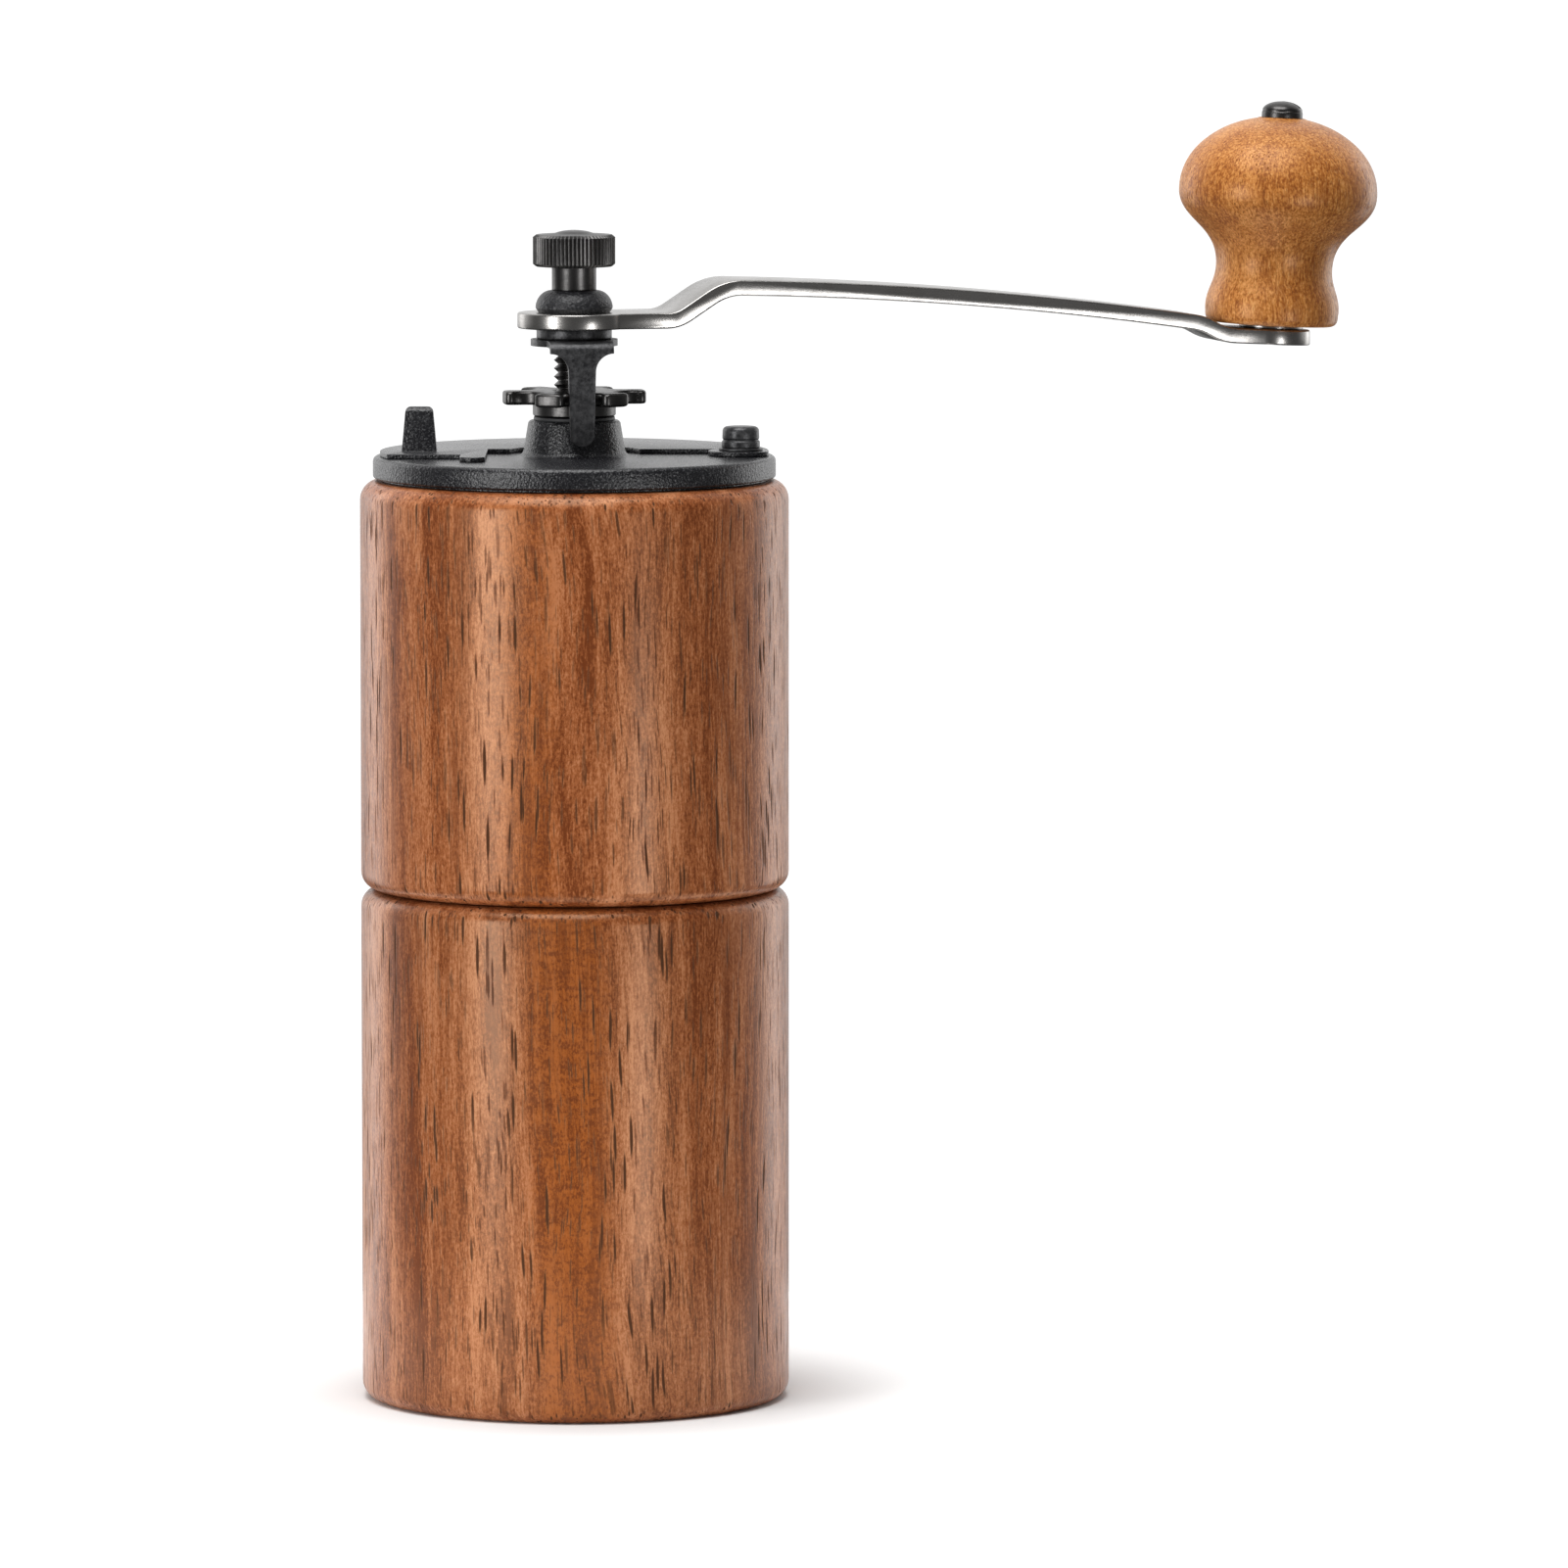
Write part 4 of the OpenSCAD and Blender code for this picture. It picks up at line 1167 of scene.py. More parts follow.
@dataclass
class BurrSet:
    """The carrier, burrs, bush, spring and fasteners inside the hopper."""

    finishes: Finishes
    burr_washer_bore: float = 2.6
    thrust_washer_bore: float = 3.32
    spring_wire: float = 0.4        # radius of the spring's wire
    spring_turns: float = 3.5
    screw_ring: float = 22.97       # radius on which the carrier's screws stand
    screw_count: int = 3
    screw_start: float = 30.0       # bearing of the first screw
    screw_shank: float = 1.1
    screw_face: float = 1.5         # radius of the head's flat face
    screw_head: float = 1.75
    screw_head_h: float = 1.3
    screw_point: float = 2.0        # length of the point
    recess_arm: float = 1.2         # half of the cross recess's length
    recess_half: float = 0.25       # half of its width
    recess_depth: float = 0.6

    def build(self) -> None:
        """Makes the pieces inside."""
        f = self.finishes
        copies = (("burr_carrier_moulding", "burr_carrier", 0.25, f.plastic, Body.MILL),
                  ("carrier_bush", "lower_bush", 0.1, f.nylon, Body.MILL),
                  ("ring_burr", "outer_burr", 0.12, f.ceramic, Body.MILL),
                  ("burr_retaining_ring", "burr_circlip", 0.1, f.bright_steel, Body.MILL),
                  ("cone_burr", "inner_burr", 0.08, f.ceramic, Body.DRIVE),
                  ("burr_hex_nut", "burr_nut", 0.15, f.bright_steel, Body.DRIVE))
        for name, node, ease, finish, body in copies:
            settled(refined(name, node, ease), finish, body, node)
        washers = (("cone_burr_washer", "burr_washer", self.burr_washer_bore, Body.DRIVE),
                   ("spring_thrust_washer", "thrust_washer", self.thrust_washer_bore, Body.THRUST))
        for name, node, bore, body in washers:
            settled(annulus(name, node, bore), f.bright_steel, body, node)
        self.sealing_ring()
        self.spring()
        self.screws()

    def sealing_ring(self) -> None:
        """Turns the rubber ring in the spigot's groove."""
        span = Span.of("spigot_ring")
        section = (span.top - span.foot) / 2
        circle = arc((span.radius - section, span.foot + section), section, 0, 360, 20)[:-1]
        made = turned("spigot_sealing_ring", circle, closed=True)
        settled(made, self.finishes.rubber, Body.MILL, "spigot_ring")

    def spring(self) -> None:
        """Winds the burr spring at its length at rest, though the real spring shortens as the grind is set
        finer.
        """
        span, wire, steel = Span.of("burr_spring"), self.spring_wire, self.finishes.bright_steel
        height = span.top - span.foot
        source = bpy.data.objects.new("burr_coil_spring", bpy.data.meshes.new("burr_coil_spring"))
        bpy.context.scene.collection.objects.link(source)
        tree = helix_tree("spring wire", steel.material, 12)
        made = tree.grow(source, {"Radius": (span.radius - wire) * MM, "Rise": (height - 2 * wire) * MM,
                                  "Turns": self.spring_turns, "Foot": (span.foot + wire) * MM,
                                  "Across": wire * MM, "Along": wire * MM}, 60.0)
        settled(made, steel, Body.MILL, "burr_spring")
        travel = joint("grind_adjust")["range_m"][1] / MM
        (height - travel) / height
        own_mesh(made)

    def screws(self) -> None:
        """Sets the carrier's screws round the flange."""
        span = Span.of("carrier_screws")
        seat = span.foot + self.screw_head_h
        corners = [(0, span.foot, 0), (self.screw_face, span.foot, 0.2), (self.screw_head, seat, 0.15),
                   (self.screw_shank, seat, 0.1), (self.screw_shank, span.top - self.screw_point, 0.2),
                   (0, span.top, 0)]
        made = turned("carrier_screw_set", rounded(corners, steps=3), SCREW_ROUND)
        for x, y in ((self.recess_half, self.recess_arm), (self.recess_arm, self.recess_half)):
            outline = [(-x, -y), (x, -y), (x, y), (-x, y)]
            cut(made, prism("screw_recess", outline, span.foot - CUT_MARGIN, span.foot + self.recess_depth))
        self._ring_tree().grow(made, {"Count": self.screw_count, "Radius": self.screw_ring * MM,
                                      "Start": math.radians(self.screw_start)})
        settled(made, self.finishes.bright_steel, Body.MILL, "carrier_screws")

    def _ring_tree(self) -> Growth:
        """A tree that repeats its source round the Z axis.

        Returns:
            The tree, with inputs Count, Radius in metres and Start in radians.
        """
        t = Growth("repeat round a ring", {"Count": 3, "Radius": 0.02, "Start": 0.0})
        points = t.node("GeometryNodeMeshCircle", None,
                        {"Vertices": t.size("Count"), "Radius": t.size("Radius")}).out()
        bearing = t.node("ShaderNodeCombineXYZ", None, {2: t.size("Start")}).out()
        placed = t.node("GeometryNodeTransform", None, {"Geometry": points, "Rotation": bearing}).out()
        copies = t.node("GeometryNodeInstanceOnPoints", None,
                        {"Points": placed, "Instance": t.size("Geometry")}).out()
        t.end(copies, self.finishes.bright_steel.material)
        return t


def helix_tree(name: str, material: bpy.types.Material, section: int) -> Growth:
    """A tree that adds a helix of a given section to its source.

    Args:
        name: The tree's name.
        material: The finish of the result.
        section: Corners of the helix's section: 4 for a thread's ridge, more for a wire.

    Returns:
        The tree, with inputs Radius, Rise, Turns, Foot, Across and Along, all in metres but Turns.
    """
    t = Growth(name, {"Radius": 0.003, "Rise": 0.01, "Turns": 5.0, "Foot": 0.0, "Across": 0.0005,
                      "Along": 0.0005})
    steps_a_turn = 48
    line = t.node("GeometryNodeCurveSpiral", None,
                  {"Resolution": steps_a_turn, "Rotations": t.size("Turns"), "Start Radius": t.size("Radius"),
                   "End Radius": t.size("Radius"), "Height": t.size("Rise"), "Reverse": True}).out()
    lift = t.node("ShaderNodeCombineXYZ", None, {2: t.size("Foot")}).out()
    line = t.node("GeometryNodeTransform", None, {"Geometry": line, "Translation": lift}).out()
    line = t.node("GeometryNodeSetCurveNormal", {"mode": "Z_UP"}, {0: line}).out()
    circle = t.node("GeometryNodeCurvePrimitiveCircle", None, {"Resolution": section, "Radius": 1.0}).out()
    shape = t.node("ShaderNodeCombineXYZ", None, {0: t.size("Across"), 1: t.size("Along"), 2: 1.0}).out()
    circle = t.node("GeometryNodeTransform", None, {"Geometry": circle, "Scale": shape}).out()
    swept = t.node("GeometryNodeCurveToMesh", None, {"Curve": line, "Profile Curve": circle,
                                                     "Fill Caps": True}).out()
    both = t.node("GeometryNodeJoinGeometry", None, {0: swept})
    t.tree.links.new(t.size("Geometry").socket, both.node.inputs[0])
    t.end(both.out(), material)
    return t


# ---------------------------------------------------------------- spindle, adjusting wheel, clip and nut


@dataclass
class SpindleStack:
    """The threaded spindle and everything stacked on it outside the lid."""

    finishes: Finishes
    pitch: float = 1.27
    thread_depth: float = 0.69
    thread_reach: float = 4.0       # how far the thread goes down into the bush
    ridge_skin: float = 0.02        # how far the ridge stays inside the frame's thread
    ridge_half: float = 0.47        # half of the ridge's width, as a share of the pitch
    square_half: float = 2.55
    square_gap: float = 0.05        # between the clip's plate and the square's foot
    stud_radius: float = 2.45
    flats_inset: float = 0.6        # how much thinner the spindle is in the cone burr
    flats_taper: float = 0.9        # length of the taper above the cone burr
    washer_bore: float = 3.0
    dome_bore: float = 2.6
    clip_bearing: float = -81.0     # bearing of the clip's prong
    wheel_hub: float = 6.4
    wheel_hub_h: float = 1.9
    wheel_play: float = 0.06        # between its bore and the thread
    wheel_ease: float = 0.45        # rounding of the lobes' edges
    notch_count: int = 6
    notch_half: float = 2.75
    notch_root: float = 6.85
    notch_flare: float = 3.05       # half of a notch's width at the wheel's edge
    lobe_round: float = 0.75        # rounding of the lobes' corners
    clip_plate: float = 6.7         # radius of the clip's plate
    clip_t: float = 1.0
    clip_bend: float = 1.1          # bend radius on the sheet's middle
    clip_reach: float = 8.6         # distance of the prong's middle from the axis
    prong_half: float = 2.1
    prong_tip_half: float = 1.85
    shoulder: float = 4.9           # half of the clip's width at its bend
    flank: float = 2.8              # radius of the curve from shoulder to prong
    knurls: int = 60
    knurl_depth: float = 0.24
    nut_neck_h: float = 3.65
    nut_neck: float = 3.42
    nut_crown: float = 0.7          # height of the nut's crown over its knurled rim

    def build(self) -> None:
        """Makes the pieces from the spindle upwards."""
        self.spindle()
        self.wheel()
        self.clip()
        washer = annulus("crank_spacer_washer", "crank_washer", self.washer_bore, 0.3)
        settled(washer, self.finishes.black_steel, Body.DRIVE, "crank_washer")
        self.dome()
        self.nut()

    def spindle(self) -> None:
        """Turns the spindle and cuts its adjusting thread."""
        span, burr, dome = Span.of("spindle"), Span.of("inner_burr"), Span.of("dome_washer")
        steel, shaft, stud = self.finishes.dark_plate, span.radius, self.stud_radius
        root, flats = shaft - self.thread_depth, shaft - self.flats_inset
        foot = Span.of("top_bush").top - self.thread_reach
        square = Span.of("lock_clip").top - self.clip_t - self.square_gap
        corners = [(0, span.foot, 0), (stud, span.foot, 0.4), (stud, burr.foot, 0), (flats, burr.foot, 0),
                   (flats, burr.top, 0), (shaft, burr.top + self.flats_taper, 0), (shaft, foot, 0.2),
                   (root, foot + 0.4, 0), (root, square - 0.2, 0), (self.square_half, square, 0),
                   (self.square_half, dome.foot, 0), (stud, dome.foot, 0), (stud, span.top, 0.4),
                   (0, span.top, 0)]
        made = turned("threaded_spindle", rounded(corners, steps=3), SMALL_ROUND)
        rise = square - foot - self.pitch
        tree = helix_tree("thread ridge", steel.material, 4)
        tree.grow(made, {"Radius": root * MM, "Rise": rise * MM, "Turns": rise / self.pitch,
                         "Foot": (foot + self.pitch / 2) * MM,
                         "Across": (self.thread_depth - self.ridge_skin) * MM,
                         "Along": self.pitch * self.ridge_half * MM}, 25.0)
        settled(made, steel, Body.DRIVE, "spindle")

    def wheel_outline(self, inset: float) -> Profile:
        """The wheel's lobed outline.

        Args:
            inset: How far the outline is drawn in from the full one.

        Returns:
            Its points, equally many for every inset.
        """
        rim = Span.of("adjusting_wheel").radius - inset
        root = self.notch_root - inset
        across, edge = self.notch_half + inset, self.notch_flare + inset
        out = math.sqrt(rim * rim - edge * edge)
        curve = across - 0.05
        notch = [(out, -edge, self.lobe_round), (root, -across, curve), (root, across, curve),
                 (out, edge, self.lobe_round)]
        pitch = 2 * math.pi / self.notch_count
        swing = math.asin(self.notch_flare / rim)
        corners: list[tuple[float, float, float]] = []
        for i in range(self.notch_count):
            bearing = math.radians(self.clip_bearing) + i * pitch
            cos, sin = math.cos(bearing), math.sin(bearing)
            corners += [(u * cos - v * sin, u * sin + v * cos, r) for u, v, r in notch]
            along_lobe = (bearing + swing + (pitch - 2 * swing) * share for share in (0.25, 0.5, 0.75))
            corners += [(rim * math.cos(a), rim * math.sin(a), 0) for a in along_lobe]
        return rounded(corners, closed=True, steps=7)

    def wheel(self) -> None:
        """Makes the adjusting wheel: a lobed disc with eased edges on a round hub."""
        span = Span.of("adjusting_wheel")
        bore, hub = Span.of("spindle").radius + self.wheel_play, self.wheel_hub
        under = span.foot + self.wheel_hub_h
        bearings = [math.atan2(y, x) for x, y in self.wheel_outline(0)]
        chamfer, countersink = 0.3, 1.4

        def circle(radius: float, height: float) -> list[Vector]:
            """A round ring with a point at each of the outline's bearings."""
            return [Vector((radius * math.cos(a), radius * math.sin(a), height)) for a in bearings]

        def lobed(inset: float, height: float) -> list[Vector]:
            """The lobed outline at a height."""
            return [Vector((x, y, height)) for x, y in self.wheel_outline(inset)]

        ease = [(self.wheel_ease * (1 - math.sin(a)), self.wheel_ease * (1 - math.cos(a)))
                for a in quarter(4)]
        rings = [circle(bore, span.foot), circle(hub - chamfer, span.foot),
                 circle(hub, span.foot + chamfer), circle(hub, under)]
        rings += [lobed(inset, under + lift) for inset, lift in ease]
        rings += [lobed(inset, span.top - lift) for inset, lift in reversed(ease)]
        rings += [circle(bore + countersink, span.top), circle(bore + chamfer, span.top),
                  circle(bore, span.top - chamfer)]
        made = ringed("grind_adjusting_wheel", rings, closed=True)
        settled(made, self.finishes.dark_plate, Body.WHEEL, "adjusting_wheel")

    def clip_sections(self, tip_run: float) -> list[Point2]:
        """Distance along the flat sheet and half-width, from the plate's back to the prong's tip.

        Args:
            tip_run: Distance along the sheet of the prong's tip.

        Returns:
            One pair for each section.
        """
        back, neck, prong = 40, 10, 8       # steps round the plate, over the bend and down the prong
        plate_end = math.sqrt(self.clip_plate ** 2 - self.shoulder ** 2)
        sweep = math.pi - math.acos(plate_end / self.clip_plate)
        sections = [(-self.clip_plate * math.cos(a), self.clip_plate * math.sin(a))
                    for a in (sweep * k / back for k in range(back + 1))]
        flank_start = self.clip_fold + self.clip_bend_run + 0.2
        run = flank_start - plate_end
        sections += [(plate_end + run * k / neck, self.shoulder) for k in range(1, neck)]
        for a in quarter(10):
            wide = self.prong_half + self.flank - self.flank * math.sin(a)
            sections.append((flank_start + self.flank * (1 - math.cos(a)), min(wide, self.shoulder)))
        tip, straight = tip_run - self.prong_tip_half, flank_start + self.flank
        narrowing = self.prong_half - self.prong_tip_half
        sections += [(straight + (tip - straight) * share, self.prong_half - narrowing * share)
                     for share in (k / prong for k in range(1, prong + 1))]
        sections += [(tip + self.prong_tip_half * math.sin(a), self.prong_tip_half * math.cos(a))
                     for a in quarter(9)[1:]]
        return sections

    @property
    def clip_fold(self) -> float:
        """Distance from the axis at which the clip's bend begins."""
        return self.clip_reach - self.clip_bend

    @property
    def clip_bend_run(self) -> float:
        """Length of the sheet's middle in the bend."""
        return math.pi / 2 * self.clip_bend

    def clip(self) -> None:
        """Bends the lock clip from flat sheet: a round plate with a prong folded down."""
        span = Span.of("lock_clip")
        middle = span.top - self.clip_t / 2
        hinge = middle - self.clip_bend         # height of the bend's centre
        fold, bend_end = self.clip_fold, self.clip_fold + self.clip_bend_run
        turn = Matrix.Rotation(math.radians(self.clip_bearing), 4, "Z")

        def bent(run: float, across: float, proud: float) -> Vector:
            """Where a point of the flat sheet goes once the sheet is bent.

            Args:
                run: Its distance along the sheet.
                across: Its place across the sheet.
                proud: Its height over the sheet's middle.

            Returns:
                Its place on the mill.
            """
            if run <= fold:
                return turn @ Vector((run, across, middle + proud))
            if run <= bend_end:
                a = (run - fold) / self.clip_bend
                reach = self.clip_bend + proud
                return turn @ Vector((fold + reach * math.sin(a), across, hinge + reach * math.cos(a)))
            return turn @ Vector((self.clip_reach + proud, across, hinge - (run - bend_end)))

        sections = self.clip_sections(bend_end + hinge - span.foot)
        made = sheet_metal("lock_clip_pressing", sections, self.clip_t, bent)
        bevelled(made, 0.22, 3, 55.0)
        settled(made, self.finishes.black_steel, Body.DRIVE, "lock_clip")

    def dome(self) -> None:
        """Turns the domed washer under the nut."""
        span = Span.of("dome_washer")
        r, bore, foot, top = span.radius, self.dome_bore, span.foot, span.top
        wall, face = foot + 0.7, 3.5            # top of the upright wall, and radius of the flat face
        profile = [(bore, foot), (r - 0.45, foot), (r, wall)]
        profile += bezier((r, wall), (r, foot + 2.1), (4.9, top), (face, top))
        profile.append((bore, top))
        made = turned("domed_washer", profile, SMALL_ROUND, closed=True)
        settled(made, self.finishes.dome_black, Body.DRIVE, "dome_washer")

    def nut(self) -> None:
        """Turns the thumb nut and knurls its head."""
        span, neck, steel = Span.of("thumb_nut"), self.nut_neck, self.finishes.dark_plate
        r, head, rim = span.radius, span.foot + self.nut_neck_h, span.top - self.nut_crown
        chamfer, lift = 0.5, 0.4
        corners = [(0, span.foot, 0), (neck, span.foot, 0.15), (neck, head, 0.25), (r - chamfer, head, 0.1),
                   (r, head + lift, 0.05), (r, rim - lift, 0.05), (r - chamfer, rim, 0.1),
                   (3.0, rim + 0.2, 0)]
        profile = rounded(corners, steps=3)
        profile += bezier(profile[-1], (2.4, span.top - 0.2), (1.2, span.top), (0, span.top), 8)
        made = turned("knurled_thumb_nut", profile, self.knurls * 6)
        self._knurl_tree().grow(made, {"Ridges": self.knurls, "Depth": self.knurl_depth * MM,
                                       "Inside": (r - 0.9) * MM, "Rim": (r - 0.45) * MM}, 50.0)
        settled(made, steel, Body.DRIVE, "thumb_nut")

    def _knurl_tree(self) -> Growth:
        """A tree that presses straight knurls into the rim of a turned head.

        Returns:
            The tree, with inputs Ridges, and Depth, Inside and Rim in metres.
        """
        t = Growth("straight knurling", {"Ridges": 36, "Depth": 0.0003, "Inside": 0.005, "Rim": 0.006})
        place = t.node("GeometryNodeInputPosition").out()
        parts = t.node("ShaderNodeSeparateXYZ", None, {0: place})
        x, y = parts.out(0), parts.out(1)
        reach = (x * x + y * y).power(0.5)
        wave = (y.bearing(x) * t.size("Ridges")).cosine()
        sharpness = 1.6
        groove = (0.5 - wave * 0.5).power(sharpness) * t.size("Depth")
        share = t.node("ShaderNodeMapRange", None, {"Value": reach, "From Min": t.size("Inside"),
                                                    "From Max": t.size("Rim")}).out("Result")
        pull = groove * share / reach.at_least(ON_AXIS)
        offset = t.node("ShaderNodeCombineXYZ", None, {0: x * pull * -1.0, 1: y * pull * -1.0}).out()
        moved = t.node("GeometryNodeSetPosition", None,
                       {"Geometry": t.size("Geometry"), "Offset": offset}).out()
        t.end(moved, self.finishes.dark_plate.material)
        return t


def sheet_metal(name: str, sections: Sequence[Point2], thickness: float,
                bent: Callable[[float, float, float], Vector], across: int = 8) -> bpy.types.Object:
    """Builds a pressing from its flat pattern.

    Args:
        name: The object's name.
        sections: Distance along the sheet and half-width of each section.
        thickness: The sheet's thickness.
        bent: Where a point of the flat sheet goes, from its distance, its place across and its height.
        across: Number of faces across the sheet.

    Returns:
        The object, a closed solid.
    """
    shape = bmesh.new()
    shares = [2 * k / across - 1 for k in range(across + 1)]
    skins = [[[shape.verts.new(bent(run, half * share, proud)) for share in shares] for run, half in sections]
             for proud in (thickness / 2, -thickness / 2)]
    for skin in skins:
        for row, following in zip(skin, skin[1:]):
            for k in range(across):
                shape.faces.new((row[k], row[k + 1], following[k + 1], following[k]))
    upper, lower = skins
    for k in (0, across):
        for i in range(len(sections) - 1):
            shape.faces.new((upper[i][k], upper[i + 1][k], lower[i + 1][k], lower[i][k]))
    for end in (0, -1):
        for k in range(across):
            shape.faces.new((upper[end][k], upper[end][k + 1], lower[end][k + 1], lower[end][k]))
    closeness = 0.001
    bmesh.ops.remove_doubles(shape, verts=shape.verts, dist=closeness)
    bmesh.ops.dissolve_degenerate(shape, edges=shape.edges, dist=closeness)
    return mesh_object(name, shape)


# ---------------------------------------------------------------- crank and knob


@dataclass
class Crank:
    """The plated strip, and the wooden knob on its screw."""

    finishes: Finishes
    strip: float = 2.4
    washer_gap: float = 0.025       # between strip and washer
    washer_t: float = 0.5
    washer_r: float = 5.0
    knob_gap: float = 0.1           # from strip to knob, apart from the washer
    knob_h: float = 32.4
    screw: float = 2.0
    washer_play: float = 0.05       # between the screw and the washer's bore
    knob_play: float = 0.08         # between the screw and the knob's bore
    recess: float = 0.35            # depth of the screw's seat in the knob
    recess_r: float = 3.6
    head_gap: float = 0.05          # between that seat and the screw's head
    head_r: float = 3.2
    head_wall: float = 1.0          # height of the head's upright side
    head_dome: float = 1.7
    slot_half: float = 0.4
    slot_depth: float = 1.0
    slot_bearing: float = 72.0
    skin: float = 0.02              # how far the curved faces stay inside the frame's

    @property
    def knob_foot(self) -> float:
        """Height of the knob's foot over the strip's middle."""
        return self.strip / 2 + self.washer_t + self.knob_gap

    def build(self) -> None:
        """Makes the crank's pieces."""
        arm = refined("crank_strip", "crank_arm", 0.42, 3)
        settled(arm, self.finishes.plated_steel, Body.DRIVE, "crank_arm")
        self.washer()
        self.knob()
        self.knob_screw()

    def at_knob(self, made: bpy.types.Object) -> bpy.types.Object:
        """Moves a piece made round the Z axis onto the knob's own axis.

        Args:
            made: The piece, with the strip's middle at height 0.

        Returns:
            The same object.
        """
        turn = joint("knob_spin")
        lean = Vector((0, 0, 1)).rotation_difference(Vector(turn["axis"])).to_matrix().to_4x4()
        made.data.transform(Matrix.Translation(turn["pos_m"]) @ lean)
        return made

    def washer(self) -> None:
        """Turns the thin washer between strip and knob."""
        bore, foot = self.screw + self.washer_play, self.strip / 2 + self.washer_gap
        top = foot + self.washer_t
        corners = [(bore, foot, 0.08), (self.washer_r, foot, 0.12), (self.washer_r, top, 0.12),
                   (bore, top, 0.08)]
        made = turned("knob_thrust_washer", rounded(corners, closed=True, steps=3), SMALL_ROUND, closed=True)
        settled(self.at_knob(made), self.finishes.plated_steel, Body.DRIVE, "knob_washer")

    def knob(self) -> None:
        """Turns the knob: a waisted foot under a rounded, slightly pointed crown."""
        top, bore = self.knob_h - self.recess, self.screw + self.knob_play
        curves = (((8.9, 0.0), (10.1, 0.0), (10.4, 0.7), (10.4, 1.6), 8),           # foot's edge
                  ((10.4, 1.6), (10.8, 4.6), (9.1, 6.0), (9.1, 8.8), 12),           # up to the waist
                  ((9.1, 8.8), (9.1, 11.2), (9.9, 13.0), (12.1, 15.0), 12),         # out from the waist
                  ((12.1, 15.0), (13.8, 16.6), (15.5, 18.0), (15.5, 20.6), 12),     # up to the widest place
                  ((15.5, 20.6), (15.5, 24.6), (13.3, 27.6), (10.0, 29.7), 16),     # shoulder
                  ((10.0, 29.7), (7.2, 31.5), (3.5, self.knob_h), (0.0, self.knob_h), 16))      # crown
        profile: Profile = [(bore, 0.0), curves[0][0]]
        for curve in curves:
            profile += [p for p in bezier(*curve) if p[0] > self.recess_r]
        profile += [(self.recess_r, top + 0.12), (self.recess_r - 0.15, top), (bore, top)]
        outline = [(r - self.skin, self.knob_foot + h) for r, h in profile]
        made = turned("crank_knob", outline, ROUND, closed=True)
        settled(self.at_knob(made), self.finishes.knob_wood, Body.GRIP, "knob")

    def knob_screw(self) -> None:
        """Turns the shoulder screw through the knob, with a slotted dome for a head."""
        foot, head = -self.strip / 2, self.head_r
        seat = self.knob_foot + self.knob_h - self.recess + self.head_gap
        wall, dome = seat + self.head_wall, self.head_dome - self.skin
        corners = [(0, foot, 0), (self.screw, foot, 0.2), (self.screw, seat, 0), (head, seat, 0.1),
                   (head, wall, 0.25), (head - 0.1, wall + 0.05, 0)]
        profile = rounded(corners, steps=4)
        profile += [(head * math.cos(a), wall + dome * math.sin(a)) for a in quarter(12)[2:-1]]
        profile.append((0, wall + dome))
        made = turned("knob_shoulder_screw", profile, SMALL_ROUND)
        x, y = self.slot_half, head + CUT_MARGIN
        tool = prism("screw_slot", [(-x, -y), (x, -y), (x, y), (-x, y)],
                     wall + self.head_dome - self.slot_depth, wall + self.head_dome + CUT_MARGIN)
        tool.data.transform(Matrix.Rotation(math.radians(self.slot_bearing), 4, "Z"))
        cut(made, tool)
        bevelled(self.at_knob(made), 0.06, 2)
        settled(made, self.finishes.dark_plate, Body.DRIVE, "knob_screw")


# ---------------------------------------------------------------- floor, lights and camera


@dataclass(frozen=True)
class Softbox:
    """A soft rectangular lamp that faces the mill."""

    name: str
    bearing: float                  # from the camera's side, positive to the right
    rise: float                     # height angle
    distance: float                 # this and the two sizes in metres
    width: float
    height: float
    watts: float

    def place(self, target: Vector) -> None:
        """Hangs the lamp so that it faces a target.

        Args:
            target: The place it faces, in metres.
        """
        data = bpy.data.lights.new(self.name, "AREA")
        data.shape = "RECTANGLE"
        data.size, data.size_y, data.energy = self.width, self.height, self.watts
        lamp = bpy.data.objects.new(self.name, data)
        a, e = math.radians(self.bearing), math.radians(self.rise)
        away = Vector((math.sin(a) * math.cos(e), -math.cos(a) * math.cos(e), math.sin(e)))
        lamp.location = target + away * self.distance
        lamp.rotation_euler = (-away).to_track_quat("-Z", "Y").to_euler()
        bpy.context.scene.collection.objects.link(lamp)


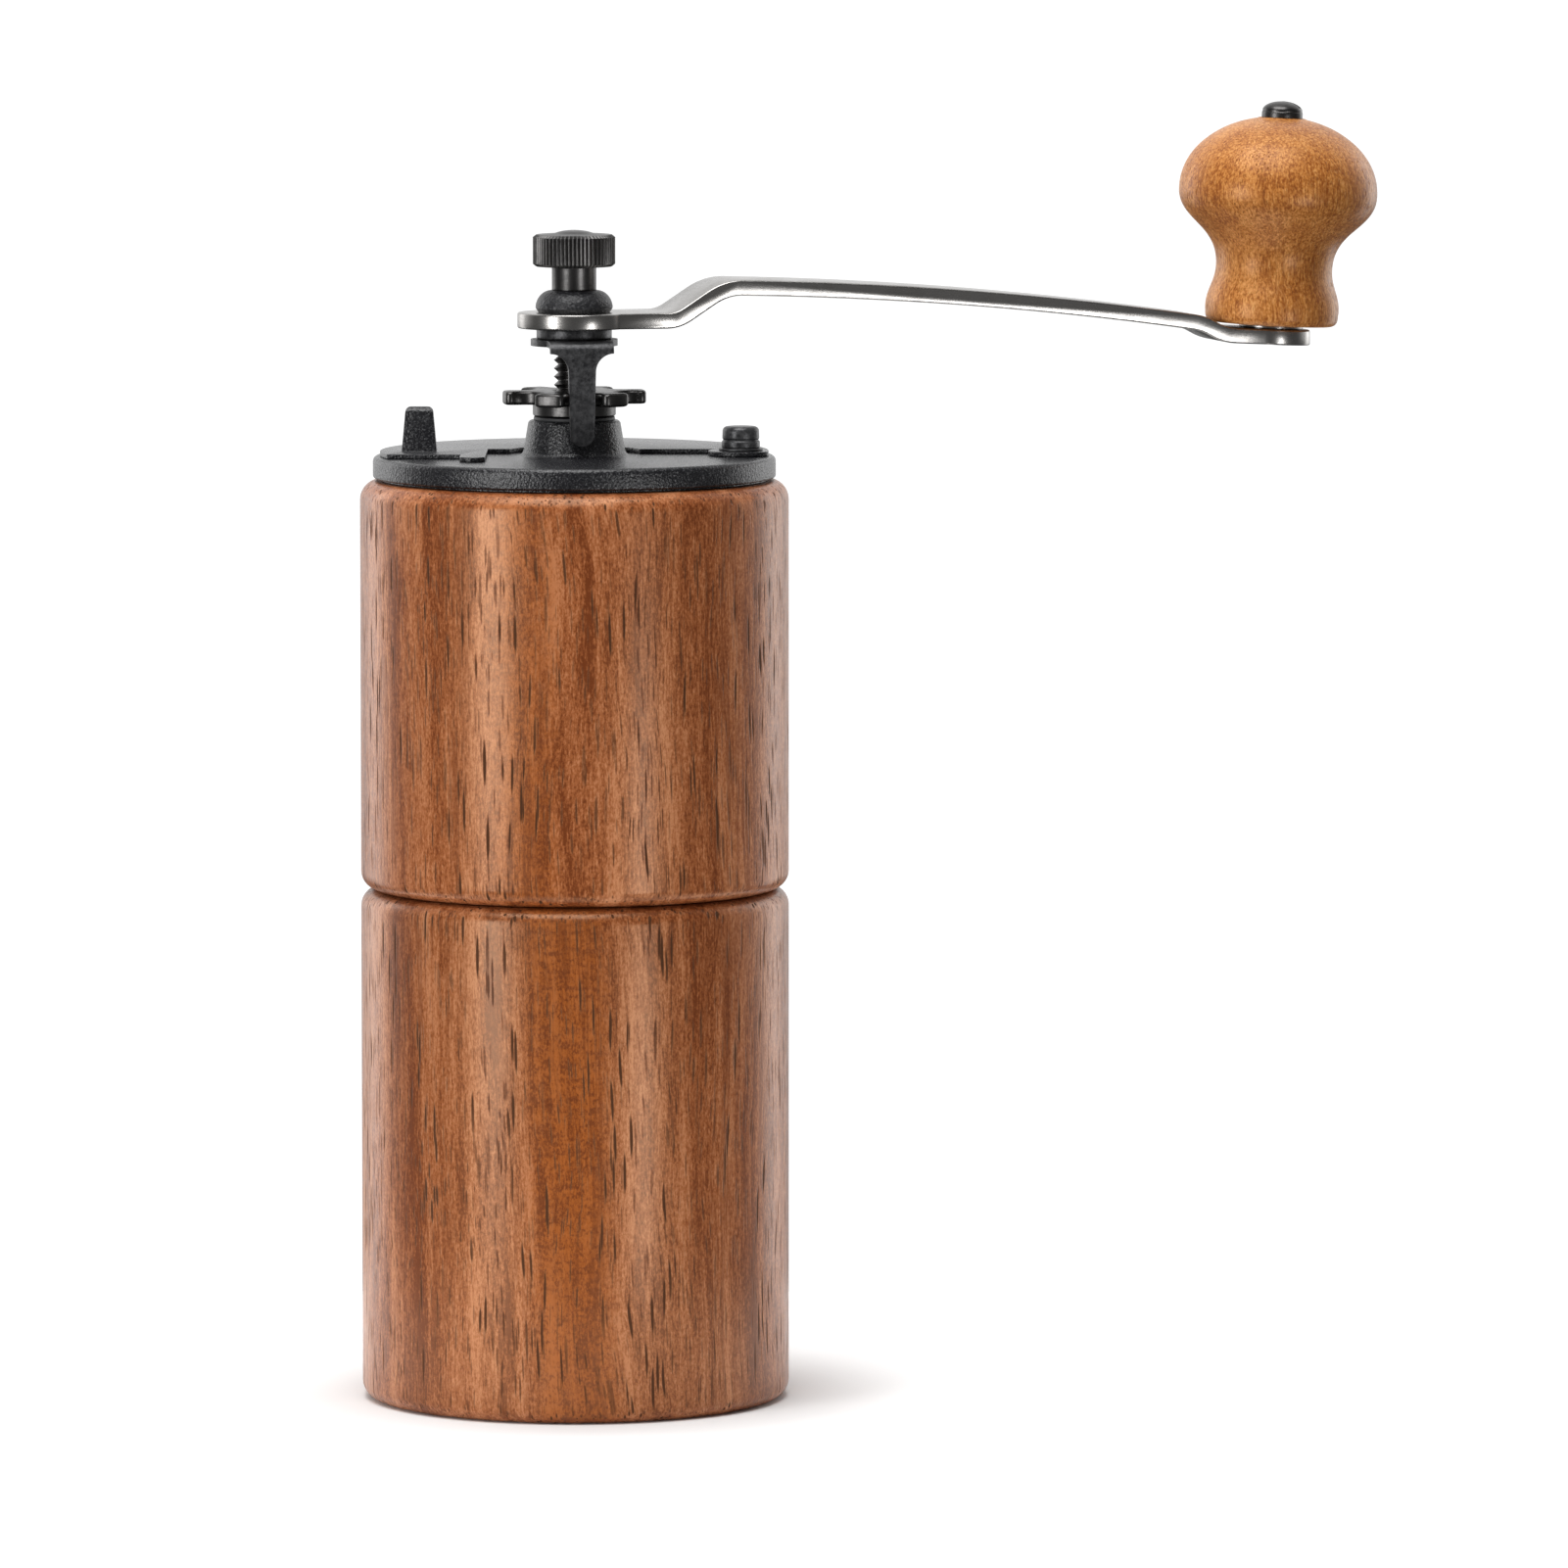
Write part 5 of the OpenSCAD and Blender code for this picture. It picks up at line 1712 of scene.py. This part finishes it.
@dataclass
class Studio:
    """A pale floor, soft lamps and the camera."""

    focal_length: float = 274.3
    sensor: float = 36.0
    distance: float = 1843.0
    tilt: float = 5.5               # how far the camera looks down
    aim: tuple[float, float, float] = (32.25, 0.0, 95.0)
    floor_half: float = 115.0
    glow: float = 0.3               # the floor's own light, away from the mill
    shade_reach: tuple[float, float] = (34.0, 64.0)     # where that light sets in
    room: float = 0.10              # the room's light in front of the mill
    room_behind: float = 0.88       # how much more comes from behind it
    room_seen: float = 1.1          # the room as the camera sees it
    behind: tuple[float, float] = (-0.10, 0.65)         # where the light from behind sets in, along Y
    above: tuple[float, float] = (-0.30, -0.02)         # and upwards, along Z
    lamp_aim: tuple[float, float, float] = (0.0, 0.0, 80.0)
    lamps: tuple[Softbox, ...] = (
        Softbox("left strip", -43.0, 4.0, 0.8, 0.23, 0.46, 2.9),
        Softbox("right strip", 37.0, -12.0, 0.8, 0.16, 0.33, 1.4),
        Softbox("left rim", -132.0, 4.0, 0.8, 0.30, 0.75, 1.0),
        Softbox("right rim", 132.0, 4.0, 0.8, 0.30, 0.75, 1.0),
        Softbox("overhead", -20.0, 72.0, 1.0, 0.8, 0.8, 10.0),
    )

    def build(self) -> None:
        """Sets the stage."""
        self.floor()
        self.sky()
        for lamp in self.lamps:
            lamp.place(Vector(self.lamp_aim) * MM)
        self.camera()
        bpy.context.scene.view_settings.view_transform = "Standard"

    def floor(self) -> None:
        """Lays the pale floor."""
        shape = bmesh.new()
        bmesh.ops.create_grid(shape, x_segments=2, y_segments=2, size=self.floor_half)
        made = mesh_object("studio_floor", shape)
        s = Shading("pale floor")
        tone = s.noise(s.place, 0.01, 2.0)
        paper = s.mixed(tone, (0.90, 0.90, 0.90), (0.93, 0.93, 0.93))
        x, y, _ = s.split(s.place)
        away = (x * x + y * y).power(0.5).step(*self.shade_reach)
        glow = s.mixed(away, (0.0, 0.0, 0.0), (1.0, 1.0, 1.0))
        made.data.materials.append(s.closed(Base_Color=paper, Roughness=0.9, Specular_IOR_Level=0.0,
                                            Emission_Color=glow, Emission_Strength=self.glow))

    def sky(self) -> None:
        """Lights the room: white to the camera, pale behind the mill and dim in front of it."""
        world = bpy.data.worlds.new("white room")
        world.use_nodes = True
        bpy.context.scene.world = world
        t = Tree(world.node_tree)
        world.node_tree.nodes.clear()
        look = t.node("ShaderNodeTexCoord").out("Generated")
        parts = t.node("ShaderNodeSeparateXYZ", None, {0: look})
        behind, above = parts.out(1).step(*self.behind), parts.out(2).step(*self.above)
        seen = t.node("ShaderNodeLightPath").out("Is Camera Ray")
        level = (self.room + behind * above * self.room_behind).at_least(seen * self.room_seen)
        glow = t.node("ShaderNodeBackground", None, {"Color": (1, 1, 1, 1), "Strength": level})
        t.node("ShaderNodeOutputWorld", None, {"Surface": glow.out()})

    def camera(self) -> None:
        """Places the camera."""
        data = bpy.data.cameras.new("camera")
        data.lens, data.sensor_width = self.focal_length, self.sensor
        data.clip_start, data.clip_end = 0.05, 50.0
        made = bpy.data.objects.new("camera", data)
        tilt = math.radians(self.tilt)
        ahead = Vector((0, math.cos(tilt), -math.sin(tilt)))
        made.location = (Vector(self.aim) - ahead * self.distance) * MM
        made.rotation_euler = (math.pi / 2 - tilt, 0, 0)
        bpy.context.scene.collection.objects.link(made)
        bpy.context.scene.camera = made


def main() -> None:
    """Builds the mill and its studio."""
    logging.basicConfig(level=logging.INFO, format="%(name)s: %(message)s")
    finishes = Finishes()
    for part in (Barrels(finishes), Lid(finishes), BurrSet(finishes), SpindleStack(finishes),
                 Crank(finishes), Studio()):
        LOG.info("building %s", type(part).__name__)
        part.build()


if __name__ == "__main__":
    main()
